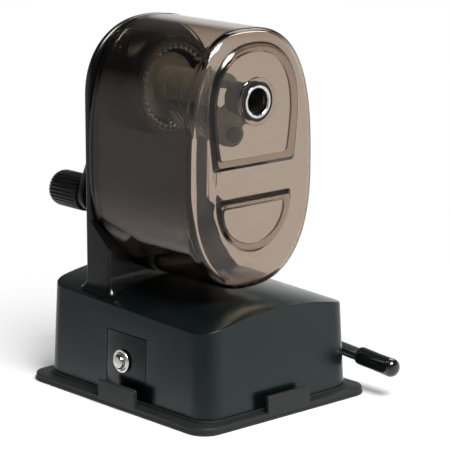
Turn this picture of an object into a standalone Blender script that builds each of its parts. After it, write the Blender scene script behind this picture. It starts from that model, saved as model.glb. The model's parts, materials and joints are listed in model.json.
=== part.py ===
"""Hand-cranked pencil sharpener on a lever-locked vacuum base.

Units are metres, +Z is up, and -Y is the side the pencil goes in.
The origin is under the middle of the whole object, at table height.
"""
import math

import bmesh
import bpy
from mathutils import Matrix, Vector

# ---- Driving dimensions -----------------------------------------------------------------------

GAP = 0.0003                    # clearance left between neighbouring solids
SEG = 40                        # sides of a large round

BASE_HALF_W = 0.0397            # base housing at its foot
BASE_HALF_D = 0.0500
BASE_DRAFT = 0.0014             # how far each side leans in by the top
BASE_CORNER_R = 0.0090
BASE_FOOT_Z = 0.0041
BASE_FRONT_Z = 0.0371           # height of the top's side edges, front and back
BASE_BACK_Z = 0.0407
BASE_CROWN = 0.0052             # how much higher the top is along its middle
BASE_WALL = 0.0022
BASE_EDGE_R = 0.0012

PANEL_FRONT_Y = -0.0138         # insert panels that carry the lever shaft
PANEL_BACK_Y = 0.0098
PANEL_TOP_Z = 0.0290

FLANGE_HALF_W = 0.0454          # rubber pad under the housing
FLANGE_HALF_D = 0.0549
FLANGE_CORNER_R = 0.0085
FLANGE_T = 0.0029
SEAT_T = 0.0038                 # thicker band that the housing stands on
PAD_OPENING_W = 0.0340          # half sizes of the hole that the diaphragm fills
PAD_OPENING_D = 0.0440
TAB_HALF_L = 0.0113
TAB_TOP_Z = 0.0097
TAB_T = 0.0019
SIDE_TAB_Y = -0.0027            # middle of each side's lift tab

AXIS_Z = 0.1219                 # crank, carrier and pencil share this line along Y

CUP_HALF_W = 0.0337             # shavings receptacle, an oval drawn forwards
CUP_MID_Z = 0.0936
CUP_UP = 0.0564
CUP_DOWN = 0.0470
CUP_UP_POWER = 2.72
CUP_DOWN_POWER = 2.42
CUP_FRONT_Y = -0.0338
CUP_RIM_Y = 0.0267
CUP_EDGE_R = 0.0046
CUP_WALL = 0.0020
BOSS_ROOT_R = 0.0110
BOSS_TIP_R = 0.0094
BOSS_OUT = 0.0014

COLUMN_HALF_W = 0.0333          # upright that carries the head
COLUMN_FRONT_Y = 0.0152
COLUMN_BACK_Y = 0.0302
COLUMN_ARCH_Z = 0.1190
COLUMN_TOP_Z = 0.1500
COLUMN_ARCH_POWER = 2.21
NECK_TOP_Z = 0.0592
GUSSET_RISE = 0.0115            # how far the neck's shoulders slope up to meet the back plate
INNER_WALL_Y = 0.0235
DRUM_R = 0.0206
DRUM_FRONT_Y = 0.0110
REAR_BOSS_R = 0.0118
REAR_BOSS_Y = 0.0362
SCREW_X = 0.0220                # the two screws that hold the column to the housing
SCREW_Y = 0.0222

GEAR_MODULE = 0.0009
RING_TEETH = 36
PINION_TEETH = 18
RING_OUTER_R = 0.0185
RING_FRONT_Y = 0.0114
RING_BACK_Y = 0.0139
MESH_Y = 0.0122                 # where the pinion's teeth meet the ring's

CUTTER_TILT = math.radians(15)  # cutter axis against the crank axis
CARRIER_ANGLE = math.radians(15)
CUTTER_R = 0.0077
CUTTER_TEETH = 18
CUTTER_LENGTH = 0.0172
CUTTER_TWIST = math.radians(75)
PINION_T = 0.0017
PIN_R = 0.0016
CRADLE_R = 0.0086
CRADLE_WALL = 0.0017
PLATE_FRONT_Y = -0.0180
PLATE_BACK_Y = -0.0150
DISC_FRONT_Y = 0.0154
DISC_BACK_Y = 0.0184
DISC_R = 0.0135

SHAFT_R = 0.0030
SHAFT_END_Y = 0.0478
ARM_LENGTH = 0.0501
ARM_ANGLE = math.radians(22.5)
ARM_FRONT_Y = 0.0417
ARM_BACK_Y = 0.0452
ARM_END_R = 0.0066
HUB_R = 0.0083
KNOB_R = 0.0076
KNOB_FRONT_Y = 0.0456
KNOB_END_Y = 0.0648
KNOB_RIBS = 30
RIVET_R = 0.0020

LEVER_Z = 0.0178                # lever shaft, along X through the base
LEVER_ROD_R = 0.0028
LEVER_LEFT_X = -0.0424
LEVER_ARM_X = 0.0456
LEVER_BEND_R = 0.0048
LEVER_DROP = math.radians(4.5)
LEVER_REACH = 0.0690
CAP_R = 0.0038
CAP_LENGTH = 0.0205
CAM_R = 0.0050
CAM_OFFSET = 0.0025
CAM_LEAD = math.radians(60)
CAM_HALF_T = 0.0030
YOKE_HALF_T = 0.0042

# The base's own middle, placed so that the whole object is centred on the origin.
BASE_X = (FLANGE_HALF_W - LEVER_ARM_X - CAP_R) / 2
LEVER_TIP_Y = -LEVER_REACH * math.cos(LEVER_DROP)
BASE_Y = -(KNOB_END_Y + LEVER_TIP_Y) / 2

# ---- Collections and materials ----------------------------------------------------------------

for leftover in list(bpy.data.objects):
    bpy.data.objects.remove(leftover, do_unlink=True)

PARTS = bpy.data.collections.new("pencil_sharpener")
CUTTERS = bpy.data.collections.new("cutters")
for group in (PARTS, CUTTERS):
    bpy.context.scene.collection.children.link(group)


def material(name, colour, roughness, metallic=0.0, alpha=1.0):
    """A Principled material with the part's colour and finish."""
    made = bpy.data.materials.new(name)
    made.use_nodes = True
    shader = made.node_tree.nodes["Principled BSDF"]
    shader.inputs["Base Color"].default_value = (*colour, 1.0)
    shader.inputs["Roughness"].default_value = roughness
    shader.inputs["Metallic"].default_value = metallic
    shader.inputs["Alpha"].default_value = alpha
    return made


HOUSING_PLASTIC = material("housing_plastic", (0.045, 0.055, 0.058), 0.38)
COLUMN_PLASTIC = material("column_plastic", (0.050, 0.056, 0.058), 0.42)
RUBBER = material("pad_rubber", (0.050, 0.057, 0.057), 0.62)
SMOKE = material("smoke_plastic", (0.23, 0.20, 0.17), 0.06, alpha=0.45)
FROSTED = material("frosted_plastic", (0.30, 0.30, 0.27), 0.45)
BLACK_PLASTIC = material("black_plastic", (0.012, 0.012, 0.013), 0.40)
VINYL = material("vinyl", (0.008, 0.008, 0.009), 0.12)
STEEL = material("bright_steel", (0.62, 0.61, 0.58), 0.22, metallic=1.0)
CUTTER_STEEL = material("cutter_steel", (0.30, 0.29, 0.27), 0.35, metallic=1.0)
GEAR_GREY = material("gear_grey", (0.22, 0.23, 0.22), 0.50)

# ---- Helpers ----------------------------------------------------------------------------------


def pivot(name, place):
    """An empty on a joint's axis, which its pieces hang from."""
    empty = bpy.data.objects.new(name, None)
    empty.empty_display_size = 0.01
    empty.location = place
    PARTS.objects.link(empty)
    return empty


def add_part(name, bm, finish, parent):
    """Make a named part from a bmesh drawn in the base's own frame, hung from its parent."""
    mesh = bpy.data.meshes.new(name)
    bm.to_mesh(mesh)
    bm.free()
    part = bpy.data.objects.new(name, mesh)
    part.data.materials.append(finish)
    PARTS.objects.link(part)
    part.parent = parent
    part.matrix_parent_inverse = Matrix.Translation(-parent.location)
    part.location = (BASE_X, BASE_Y, 0)
    part.data.shade_smooth()
    part.data.set_sharp_from_angle(angle=math.radians(35))
    return part


def add_cutter(name, bm):
    """Make an unrendered solid that Booleans use."""
    mesh = bpy.data.meshes.new(name)
    bm.to_mesh(mesh)
    bm.free()
    cutter = bpy.data.objects.new(name, mesh)
    cutter.hide_render = True
    cutter.display_type = 'WIRE'
    CUTTERS.objects.link(cutter)
    cutter.location = (BASE_X, BASE_Y, 0)
    return cutter


def boolean(part, cutter, operation='DIFFERENCE'):
    """Add one exact Boolean to a part."""
    step = part.modifiers.new(cutter.name, 'BOOLEAN')
    step.operation = operation
    step.object = cutter


def outwards(bm):
    """Merge doubled points and point every face outwards."""
    bmesh.ops.remove_doubles(bm, verts=bm.verts, dist=1e-6)
    bmesh.ops.recalc_face_normals(bm, faces=bm.faces)
    return bm


def rod(radius, length, place, direction, sides=SEG, tip_radius=None):
    """A closed cylinder or cone that starts at place and runs along direction."""
    bm = bmesh.new()
    end = radius if tip_radius is None else tip_radius
    bmesh.ops.create_cone(bm, cap_ends=True, segments=sides, radius1=radius, radius2=end, depth=length)
    turn = Vector(direction).to_track_quat('Z', 'Y').to_matrix().to_4x4()
    lift = Matrix.Translation((0, 0, length / 2))
    bmesh.ops.transform(bm, matrix=Matrix.Translation(place) @ turn @ lift, verts=bm.verts)
    return bm


def rod_y(radius, front, back, x=0.0, z=AXIS_Z, sides=SEG):
    """A closed cylinder along Y."""
    return rod(radius, back - front, (x, front, z), (0, 1, 0), sides)


def block(low, high):
    """A closed box between two corners."""
    bm = bmesh.new()
    bmesh.ops.create_cube(bm, size=1)
    size = [b - a for a, b in zip(low, high)]
    middle = [(a + b) / 2 for a, b in zip(low, high)]
    bmesh.ops.scale(bm, vec=size, verts=bm.verts)
    bmesh.ops.translate(bm, vec=middle, verts=bm.verts)
    return bm


def bevel(bm, edges, width, steps):
    """Round some edges."""
    bmesh.ops.bevel(bm, geom=edges, offset=width, offset_type='OFFSET', segments=steps,
                    profile=0.5, affect='EDGES', material=-1)


def upright_edges(bm):
    """The edges that run along Z."""
    return [e for e in bm.edges if abs(e.verts[0].co.z - e.verts[1].co.z) > 0.001]


def rounded_slab(half_w, half_d, radius, low_z, high_z, steps=6):
    """A box with rounded upright corners."""
    bm = block((-half_w, -half_d, low_z), (half_w, half_d, high_z))
    bevel(bm, upright_edges(bm), radius, steps)
    return bm


def drawn_outline(points, front, back):
    """Push a flat outline in X and Z along Y into a closed solid."""
    bm = bmesh.new()
    face = bm.faces.new([bm.verts.new((x, front, z)) for x, z in points])
    grown = bmesh.ops.extrude_face_region(bm, geom=[face])
    moved = [v for v in grown["geom"] if isinstance(v, bmesh.types.BMVert)]
    bmesh.ops.translate(bm, vec=(0, back - front, 0), verts=moved)
    return outwards(bm)


def turned(name, profile, finish, parent, place, direction, steps=SEG):
    """Turn a profile of (radius, height) points, listed top to bottom on its outer side."""
    bm = bmesh.new()
    points = [bm.verts.new((radius, 0, height)) for radius, height in profile]
    for first, second in zip(points, points[1:]):
        bm.edges.new((first, second))
    if profile[0][0] > 0:
        bm.edges.new((points[-1], points[0]))
    part = add_part(name, bm, finish, parent)
    turn = part.modifiers.new("Turn", 'SCREW')
    turn.steps = steps
    turn.render_steps = steps
    turn.use_merge_vertices = True
    turn.merge_threshold = 0.00002
    part.location = Vector((BASE_X, BASE_Y, 0)) + Vector(place)
    part.rotation_mode = 'QUATERNION'
    part.rotation_quaternion = Vector(direction).to_track_quat('Z', 'Y')
    return part


def ring_profile(outer, inner, height):
    """A square-cut ring's profile, for turned()."""
    return [(outer, height), (outer, 0), (inner, 0), (inner, height)]


def oval(inset=0.0, count=72):
    """The receptacle's outline as X and Z points, moved inwards by inset."""
    points = []
    for step in range(count):
        angle = 2 * math.pi * step / count
        across, up = math.cos(angle), math.sin(angle)
        power = CUP_UP_POWER if up > 0 else CUP_DOWN_POWER
        reach = (CUP_UP if up > 0 else CUP_DOWN) - inset
        x = (CUP_HALF_W - inset) * math.copysign(abs(across) ** (2 / power), across)
        z = CUP_MID_Z + reach * math.copysign(abs(up) ** (2 / power), up)
        points.append((x, z))
    return points


def tombstone(foot_z, count=28):
    """The upright's outline: straight sides under a rounded top."""
    points = [(COLUMN_HALF_W, foot_z)]
    for step in range(count + 1):
        angle = math.pi * step / count
        across, up = math.cos(angle), math.sin(angle)
        x = COLUMN_HALF_W * math.copysign(abs(across) ** (2 / COLUMN_ARCH_POWER), across)
        rise = (COLUMN_TOP_Z - COLUMN_ARCH_Z) * up ** (2 / COLUMN_ARCH_POWER) if up > 1e-9 else 0.0
        points.append((x, COLUMN_ARCH_Z + rise))
    points.append((-COLUMN_HALF_W, foot_z))
    return points


def toothed(teeth, root, tip, phase, root_share=0.30, tip_share=0.20):
    """A gear outline about its own middle, with a tooth centred on phase."""
    points = []
    pitch = 2 * math.pi / teeth
    for tooth in range(teeth):
        middle = phase + tooth * pitch
        for share, radius in ((-root_share, root), (-tip_share / 2, tip),
                              (tip_share / 2, tip), (root_share, root)):
            angle = middle + share * pitch
            points.append((radius * math.sin(angle), -radius * math.cos(angle)))
    return points


def cutter_line(y):
    """Point on the cutter's own axis at a given Y."""
    away = pinion_reach + (pinion_y - y) * math.tan(CUTTER_TILT)
    return Vector((away * math.sin(CARRIER_ANGLE), y, AXIS_Z - away * math.cos(CARRIER_ANGLE)))


# ---- Joint axes -------------------------------------------------------------------------------

ring_pitch_r = GEAR_MODULE * RING_TEETH / 2
pinion_pitch_r = GEAR_MODULE * PINION_TEETH / 2
pinion_reach = ring_pitch_r - pinion_pitch_r * math.cos(CUTTER_TILT)
pinion_y = MESH_Y - pinion_pitch_r * math.sin(CUTTER_TILT)
cutter_back = cutter_line(pinion_y)
cutter_axis = (cutter_line(0.02) - cutter_line(-0.02)).normalized()
knob_place = Vector((-ARM_LENGTH * math.sin(ARM_ANGLE), 0, AXIS_Z - ARM_LENGTH * math.cos(ARM_ANGLE)))
base_place = Vector((BASE_X, BASE_Y, 0))

stand = pivot("stand_origin", base_place)
cup_rail = pivot("receptacle_rail", base_place + Vector((0, CUP_RIM_Y, AXIS_Z)))
crank = pivot("crank_axis", base_place + Vector((0, 0, AXIS_Z)))
knob_pivot = pivot("knob_axis", base_place + knob_place)
cutter_pivot = pivot("cutter_axis", base_place + cutter_back)
lever = pivot("lever_axis", base_place + Vector((0, 0, LEVER_Z)))
lift = pivot("lift_axis", base_place + Vector((0, 0, LEVER_Z)))

# ---- Base housing -----------------------------------------------------------------------------


def base_top(x, y):
    """Height of the crowned, sloping top."""
    edge = BASE_FRONT_Z + (BASE_BACK_Z - BASE_FRONT_Z) * (y + BASE_HALF_D) / (2 * BASE_HALF_D)
    return edge + BASE_CROWN * (1 - (x / BASE_HALF_W) ** 2)


def housing_form(grow, foot_z=BASE_FOOT_Z):
    """The housing's outer form as a closed solid, larger by grow on every face but its foot."""
    bm = rounded_slab(BASE_HALF_W + grow, BASE_HALF_D + grow, BASE_CORNER_R + grow, foot_z, BASE_BACK_Z)
    strips = 12
    for cut in range(1, strips):
        x = BASE_HALF_W * (2 * cut / strips - 1)
        bmesh.ops.bisect_plane(bm, geom=bm.verts[:] + bm.edges[:] + bm.faces[:],
                               plane_co=(x, 0, 0), plane_no=(1, 0, 0))
    for vert in bm.verts:
        if vert.co.z > BASE_BACK_Z - 0.0001:
            vert.co.z = base_top(vert.co.x, vert.co.y) + grow
            vert.co.x *= 1 - BASE_DRAFT / BASE_HALF_W
            vert.co.y *= 1 - BASE_DRAFT / BASE_HALF_D
    return bm


def build_housing():
    """Thin moulded shell, open below, with a notch in each side for its insert panel."""
    bm = housing_form(0)
    bmesh.ops.recalc_face_normals(bm, faces=bm.faces)
    rim = []
    for edge in bm.edges:
        first, second = (face.normal.z for face in edge.link_faces)
        if abs(min(first, second)) < 0.5 < max(first, second):
            rim.append(edge)
    bevel(bm, rim, BASE_EDGE_R, 2)
    housing = add_part("base_housing", bm, HOUSING_PLASTIC, stand)
    boolean(housing, add_cutter("housing_hollow", housing_form(-BASE_WALL, BASE_FOOT_Z - 0.001)))
    notch = add_cutter("panel_notches", block(
        (-BASE_HALF_W - 0.01, PANEL_FRONT_Y - GAP, BASE_FOOT_Z - 0.002),
        (BASE_HALF_W + 0.01, PANEL_BACK_Y + GAP, PANEL_TOP_Z + GAP)))
    boolean(housing, notch)
    for side in (-1, 1):
        hole = add_cutter("column_screw_hole", rod(0.0022, 0.012, (side * SCREW_X, SCREW_Y, 0.034), (0, 0, 1), 16))
        boolean(housing, hole)
    return housing


def build_side_panel(name, side):
    """Snap-in panel that closes a notch and carries one end of the lever shaft."""
    foot_x = BASE_HALF_W
    top_x = BASE_HALF_W - BASE_DRAFT * (PANEL_TOP_Z - BASE_FOOT_Z) / (BASE_BACK_Z - BASE_FOOT_Z)
    bm = block((foot_x - BASE_WALL, PANEL_FRONT_Y, BASE_FOOT_Z), (foot_x, PANEL_BACK_Y, PANEL_TOP_Z))
    for vert in bm.verts:
        if vert.co.z > 0.02:
            vert.co.x += top_x - foot_x
    bmesh.ops.scale(bm, vec=(side, 1, 1), verts=bm.verts)
    panel = add_part(name, outwards(bm), HOUSING_PLASTIC, stand)
    reach = 0.012
    hole = add_cutter(name + "_hole", rod(LEVER_ROD_R + GAP, reach, (side * (foot_x - 0.007), 0, LEVER_Z),
                                          (side, 0, 0), 24))
    boolean(panel, hole)
    return panel


# ---- Vacuum pad -------------------------------------------------------------------------------


def build_pad_rim():
    """Rubber flange that seals on the table, with four upright tabs to peel it off."""
    bm = rounded_slab(FLANGE_HALF_W, FLANGE_HALF_D, FLANGE_CORNER_R, 0, FLANGE_T)
    rim = add_part("pad_rim", bm, RUBBER, stand)
    seat = add_cutter("pad_seat", rounded_slab(BASE_HALF_W + 0.0008, BASE_HALF_D + 0.0008,
                                               BASE_CORNER_R, 0.0010, SEAT_T))
    boolean(rim, seat, 'UNION')
    low_z = 0.0012
    for side in (-1, 1):
        edge = side * FLANGE_HALF_W
        inner = edge - side * TAB_T
        flank = block((min(edge, inner), SIDE_TAB_Y - TAB_HALF_L, low_z),
                      (max(edge, inner), SIDE_TAB_Y + TAB_HALF_L, TAB_TOP_Z))
        boolean(rim, add_cutter("side_tab", flank), 'UNION')
        edge = side * FLANGE_HALF_D
        inner = edge - side * TAB_T
        nose = block((-TAB_HALF_L, min(edge, inner), low_z), (TAB_HALF_L, max(edge, inner), TAB_TOP_Z))
        boolean(rim, add_cutter("end_tab", nose), 'UNION')
    opening = add_cutter("pad_opening", rounded_slab(PAD_OPENING_W, PAD_OPENING_D, 0.012, -0.01, 0.02))
    boolean(rim, opening)
    return rim


def build_diaphragm():
    """Domed rubber sheet that the lever draws up to hold the vacuum."""
    bm = bmesh.new()
    sheet_t = 0.0014
    edge_z = 0.0007
    rise = 0.0052
    shares = (1.0, 0.92, 0.82, 0.70, 0.58, 0.46)
    stations = [(share, 0.0) for share in reversed(shares)] + [(share, sheet_t) for share in shares]
    previous = None
    for share, lift_z in stations:
        climb = min(1.0, (1 - share) / (1 - shares[-1]))
        z = edge_z + lift_z + rise * climb * climb * (3 - 2 * climb)
        half_w = (PAD_OPENING_W - GAP) * share
        half_d = (PAD_OPENING_D - GAP) * share
        ring = rounded_ring(bm, half_w, half_d, 0.0117 * share, z)
        if previous is None:
            bm.faces.new(ring)
        else:
            for i in range(len(ring)):
                bm.faces.new((previous[i - 1], previous[i], ring[i], ring[i - 1]))
        previous = ring
    bm.faces.new(previous)
    return add_part("pad_diaphragm", outwards(bm), RUBBER, stand)


def rounded_ring(bm, half_w, half_d, radius, z, steps=5):
    """One level loop of points round a rectangle with rounded corners."""
    ring = []
    for quarter in range(4):
        x_side = 1 if quarter in (0, 3) else -1
        y_side = 1 if quarter in (0, 1) else -1
        for step in range(steps + 1):
            angle = math.pi / 2 * (quarter + step / steps)
            x = x_side * (half_w - radius) + radius * math.cos(angle)
            y = y_side * (half_d - radius) + radius * math.sin(angle)
            ring.append(bm.verts.new((x, y, z)))
    return ring


# ---- Upright column ---------------------------------------------------------------------------


def build_column():
    """Moulded upright: neck, arched back plate, spigot for the receptacle, gear drum, rear boss."""
    plate = drawn_outline(tombstone(0.036), CUP_RIM_Y + GAP, COLUMN_BACK_Y)
    back_edges = [e for e in plate.edges if all(v.co.y > COLUMN_BACK_Y - 1e-5 and v.co.z > 0.037
                                                for v in e.verts)]
    bevel(plate, back_edges, 0.0014, 2)
    column = add_part("column", plate, COLUMN_PLASTIC, stand)
    neck_bm = block((-COLUMN_HALF_W, COLUMN_FRONT_Y, 0.036), (COLUMN_HALF_W, CUP_RIM_Y + 0.002, NECK_TOP_Z))
    for vert in neck_bm.verts:
        if vert.co.z > NECK_TOP_Z - 1e-5 and vert.co.y > COLUMN_FRONT_Y + 1e-5:
            vert.co.z += GUSSET_RISE
    neck = add_cutter("neck", neck_bm)
    saddle = add_cutter("cup_saddle", drawn_outline(oval(-0.0005), COLUMN_FRONT_Y - 0.01, CUP_RIM_Y + GAP))
    boolean(neck, saddle)
    boolean(column, neck, 'UNION')
    spigot = drawn_outline(oval(CUP_WALL + 0.0004), INNER_WALL_Y, CUP_RIM_Y + 0.001)
    boolean(column, add_cutter("spigot", spigot), 'UNION')
    boolean(column, add_cutter("gear_drum", rod_y(DRUM_R, DRUM_FRONT_Y, INNER_WALL_Y + 0.002)), 'UNION')
    rear = rod(REAR_BOSS_R + 0.0016, REAR_BOSS_Y - COLUMN_BACK_Y + 0.001, (0, COLUMN_BACK_Y - 0.001, AXIS_Z),
               (0, 1, 0), SEG, REAR_BOSS_R)
    boolean(column, add_cutter("rear_boss", rear), 'UNION')
    seat = rod_y(RING_OUTER_R + GAP, DRUM_FRONT_Y - 0.002, RING_BACK_Y + GAP)
    boolean(column, add_cutter("gear_seat", seat))
    boolean(column, add_cutter("gear_well", rod_y(0.0166, RING_BACK_Y, DISC_BACK_Y + 0.0018)))
    boolean(column, add_cutter("bearing_bore", rod_y(0.0052, DISC_BACK_Y, REAR_BOSS_Y + 0.002, sides=32)))
    boolean(column, add_cutter("housing_clearance", housing_form(GAP)))
    for side in (-1, 1):
        hole = rod(0.0017, 0.0152, (side * SCREW_X, SCREW_Y, 0.036), (0, 0, 1), 16)
        boolean(column, add_cutter("screw_socket", hole))
    return column


def build_column_screw(name, x):
    """Screw up through the housing's roof that holds the column."""
    roof = base_top(x, SCREW_Y) - BASE_WALL
    profile = [(0, 0.0098), (0.0014, 0.0098), (0.0014, 0), (0.0034, 0), (0.0034, -0.0016), (0.0026, -0.0024),
               (0, -0.0024)]
    return turned(name, profile, STEEL, stand, (x, SCREW_Y, roof - 0.0010), (0, 0, 1), 20)


# ---- Receptacle and pencil guide --------------------------------------------------------------


def build_receptacle():
    """Smoke-tinted cup that catches the shavings and pulls off forwards."""
    bm = bmesh.new()
    arc = [math.radians(a) for a in (90, 67.5, 45, 22.5, 0)]
    stations = [(CUP_RIM_Y, 0.0)]
    for angle in reversed(arc):
        stations.append((CUP_FRONT_Y + CUP_EDGE_R * (1 - math.sin(angle)), CUP_EDGE_R * (1 - math.cos(angle))))
    loops = []
    for y, inset in stations:
        ring = [bm.verts.new((x, y, z)) for x, z in oval(inset)]
        loops.append([bm.edges.new((ring[i - 1], ring[i])) for i in range(len(ring))])
    for first, second in zip(loops, loops[1:]):
        bmesh.ops.bridge_loops(bm, edges=first + second)
    bmesh.ops.contextual_create(bm, geom=loops[-1])
    front = max(bm.faces, key=lambda f: len(f.verts))
    bmesh.ops.recalc_face_normals(bm, faces=bm.faces)
    if front.normal.y > 0:
        bmesh.ops.reverse_faces(bm, faces=bm.faces)
    cup = add_part("receptacle", bm, SMOKE, cup_rail)
    wall = cup.modifiers.new("Wall", 'SOLIDIFY')
    wall.thickness = CUP_WALL
    wall.offset = -1
    wall.use_even_offset = True
    boss = rod(BOSS_ROOT_R, BOSS_OUT + 0.001, (0, CUP_FRONT_Y + 0.001, AXIS_Z), (0, -1, 0), SEG, BOSS_TIP_R)
    boolean(cup, add_cutter("guide_boss", boss), 'UNION')
    boolean(cup, add_cutter("guide_hole", rod_y(0.0080, CUP_FRONT_Y - 0.01, CUP_FRONT_Y + 0.01)))
    return cup


def build_guide():
    """Dark sleeve pushed into the receptacle, and the bright lip set in its mouth."""
    mouth = 0.0004
    outer = 0.0077
    depth = 0.0118
    sleeve = [(0.0069, depth), (outer, depth), (outer, 0), (0.0050, 0), (0.0050, depth - 0.0026),
              (0.0069, depth - 0.0026)]
    front_y = CUP_FRONT_Y - BOSS_OUT - mouth
    turned("guide_sleeve", sleeve, BLACK_PLASTIC, cup_rail, (0, front_y + depth, AXIS_Z), (0, -1, 0), 32)
    lip = [(0.0058, 0.0028), (0.0063, 0.0028), (0.0066, 0.0024), (0.0066, 0), (0.0052, 0), (0.0052, 0.0016)]
    turned("guide_lip", lip, STEEL, cup_rail, (0, front_y + 0.0022, AXIS_Z), (0, -1, 0), 32)


# ---- Gear train and cutter --------------------------------------------------------------------


def build_ring_gear():
    """Fixed ring with inward teeth that drives the cutter's pinion."""
    tip = ring_pitch_r - 0.8 * GEAR_MODULE
    root = ring_pitch_r + 1.25 * GEAR_MODULE
    ring = add_part("ring_gear", rod_y(RING_OUTER_R, RING_FRONT_Y, RING_BACK_Y), GEAR_GREY, stand)
    half_tooth = math.pi / RING_TEETH
    spaces = toothed(RING_TEETH, tip, root, CARRIER_ANGLE, 0.34, 0.34)
    outline = [(x, AXIS_Z + z) for x, z in spaces]
    boolean(ring, add_cutter("ring_spaces", drawn_outline(outline, RING_FRONT_Y - 0.002, RING_BACK_Y + 0.002)))
    return ring


def place_on_cutter_axis(bm):
    """Move a piece drawn about Z onto the tilted cutter axis, its Z towards the back."""
    turn = cutter_axis.to_track_quat('Z', 'X').to_matrix().to_4x4()
    bmesh.ops.transform(bm, matrix=Matrix.Translation(cutter_back) @ turn, verts=bm.verts)
    return bm


def mesh_phase():
    """Angle of the meshing direction about the cutter axis, in the piece's own drawing plane."""
    turn = cutter_axis.to_track_quat('Z', 'X').to_matrix()
    outward = Vector((math.sin(CARRIER_ANGLE), 0, -math.cos(CARRIER_ANGLE)))
    local = turn.transposed() @ outward
    return math.atan2(local.x, -local.y)


def build_pinion():
    """Toothed end of the cutter that rolls round inside the ring."""
    tip = pinion_pitch_r + 0.8 * GEAR_MODULE
    root = pinion_pitch_r - 1.25 * GEAR_MODULE
    outline = toothed(PINION_TEETH, root, tip, mesh_phase(), 0.26, 0.22)
    bm = bmesh.new()
    face = bm.faces.new([bm.verts.new((x, y, -PINION_T / 2)) for x, y in outline])
    grown = bmesh.ops.extrude_face_region(bm, geom=[face])
    moved = [v for v in grown["geom"] if isinstance(v, bmesh.types.BMVert)]
    bmesh.ops.translate(bm, vec=(0, 0, PINION_T), verts=moved)
    pinion = add_part("cutter_pinion", place_on_cutter_axis(outwards(bm)), CUTTER_STEEL, cutter_pivot)
    boolean(pinion, pin_bore())
    return pinion


def pin_bore():
    """Hole for the pin that the cutter runs on."""
    start = cutter_line(-0.030)
    return add_cutter("pin_bore", rod(PIN_R + GAP, 0.060, start, cutter_axis, 20))


def build_cutter():
    """Milling cutter with twisted teeth."""
    rings = 9
    bm = bmesh.new()
    loops = []
    for step in range(rings):
        share = step / (rings - 1)
        z = -PINION_T / 2 - GAP - CUTTER_LENGTH * (1 - share)
        outline = toothed(CUTTER_TEETH, CUTTER_R - 0.0009, CUTTER_R, CUTTER_TWIST * share, 0.42, 0.24)
        ring = [bm.verts.new((x, y, z)) for x, y in outline]
        loops.append(ring)
    for first, second in zip(loops, loops[1:]):
        for i in range(len(first)):
            bm.faces.new((first[i - 1], first[i], second[i], second[i - 1]))
    bm.faces.new(loops[0])
    bm.faces.new(loops[-1])
    cutter = add_part("cutter", place_on_cutter_axis(outwards(bm)), CUTTER_STEEL, cutter_pivot)
    boolean(cutter, pin_bore())
    return cutter


def build_carrier():
    """Frame that swings the cutter round the pencil: back disc with half sleeve, front plate, pin."""
    disc = add_part("carrier_cradle", rod_y(DISC_R, DISC_FRONT_Y, DISC_BACK_Y), FROSTED, crank)
    half_sweep = math.radians(100)
    count = 16
    outline = []
    for radius, order in ((CRADLE_R, range(count + 1)), (CRADLE_R - CRADLE_WALL, reversed(range(count + 1)))):
        for step in order:
            angle = CARRIER_ANGLE - half_sweep + 2 * half_sweep * step / count
            outline.append((-radius * math.sin(angle), AXIS_Z + radius * math.cos(angle)))
    sleeve = drawn_outline(outline, PLATE_BACK_Y + GAP, DISC_FRONT_Y + 0.001)
    boolean(disc, add_cutter("half_sleeve", sleeve), 'UNION')
    rear_hole = rod(PIN_R + GAP, 0.012, cutter_line(0.0120), cutter_axis, 20)
    boolean(disc, add_cutter("rear_pin_hole", rear_hole))

    boss = cutter_line(PLATE_FRONT_Y)
    reach = math.hypot(boss.x, boss.z - AXIS_Z)
    outline = []
    for middle, radius, start in ((0.0, 0.0083, 0.0), (reach, 0.0052, math.pi)):
        for step in range(17):
            angle = start + math.pi * step / 16
            across = radius * math.cos(angle)
            up = radius * math.sin(angle) - middle
            x = across * math.cos(CARRIER_ANGLE) - up * math.sin(CARRIER_ANGLE)
            z = across * math.sin(CARRIER_ANGLE) + up * math.cos(CARRIER_ANGLE)
            outline.append((x, AXIS_Z + z))
    plate = add_part("carrier_plate", drawn_outline(outline, PLATE_FRONT_Y, PLATE_BACK_Y), FROSTED, crank)
    boolean(plate, add_cutter("pencil_way", rod_y(0.0056, PLATE_FRONT_Y - 0.01, PLATE_BACK_Y + 0.01)))
    front_hole = rod(PIN_R + GAP, 0.010, cutter_line(PLATE_FRONT_Y - 0.004), cutter_axis, 20)
    boolean(plate, add_cutter("front_pin_hole", front_hole))

    start = cutter_line(PLATE_FRONT_Y + 0.0002)
    length = (cutter_line(DISC_BACK_Y - 0.0006) - start).length
    add_part("cutter_pin", rod(PIN_R, length, start, cutter_axis, 20), STEEL, crank)
    cap_place = cutter_line(PLATE_FRONT_Y)
    cap_profile = [(0, 0.0016), (0.0024, 0.0015), (0.0033, 0.0010), (0.0036, 0), (0, 0)]
    turned("pin_cap", cap_profile, BLACK_PLASTIC, crank,
           (cap_place.x, PLATE_FRONT_Y - GAP, cap_place.z), (0, -1, 0), 24)


# ---- Crank ------------------------------------------------------------------------------------


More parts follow.
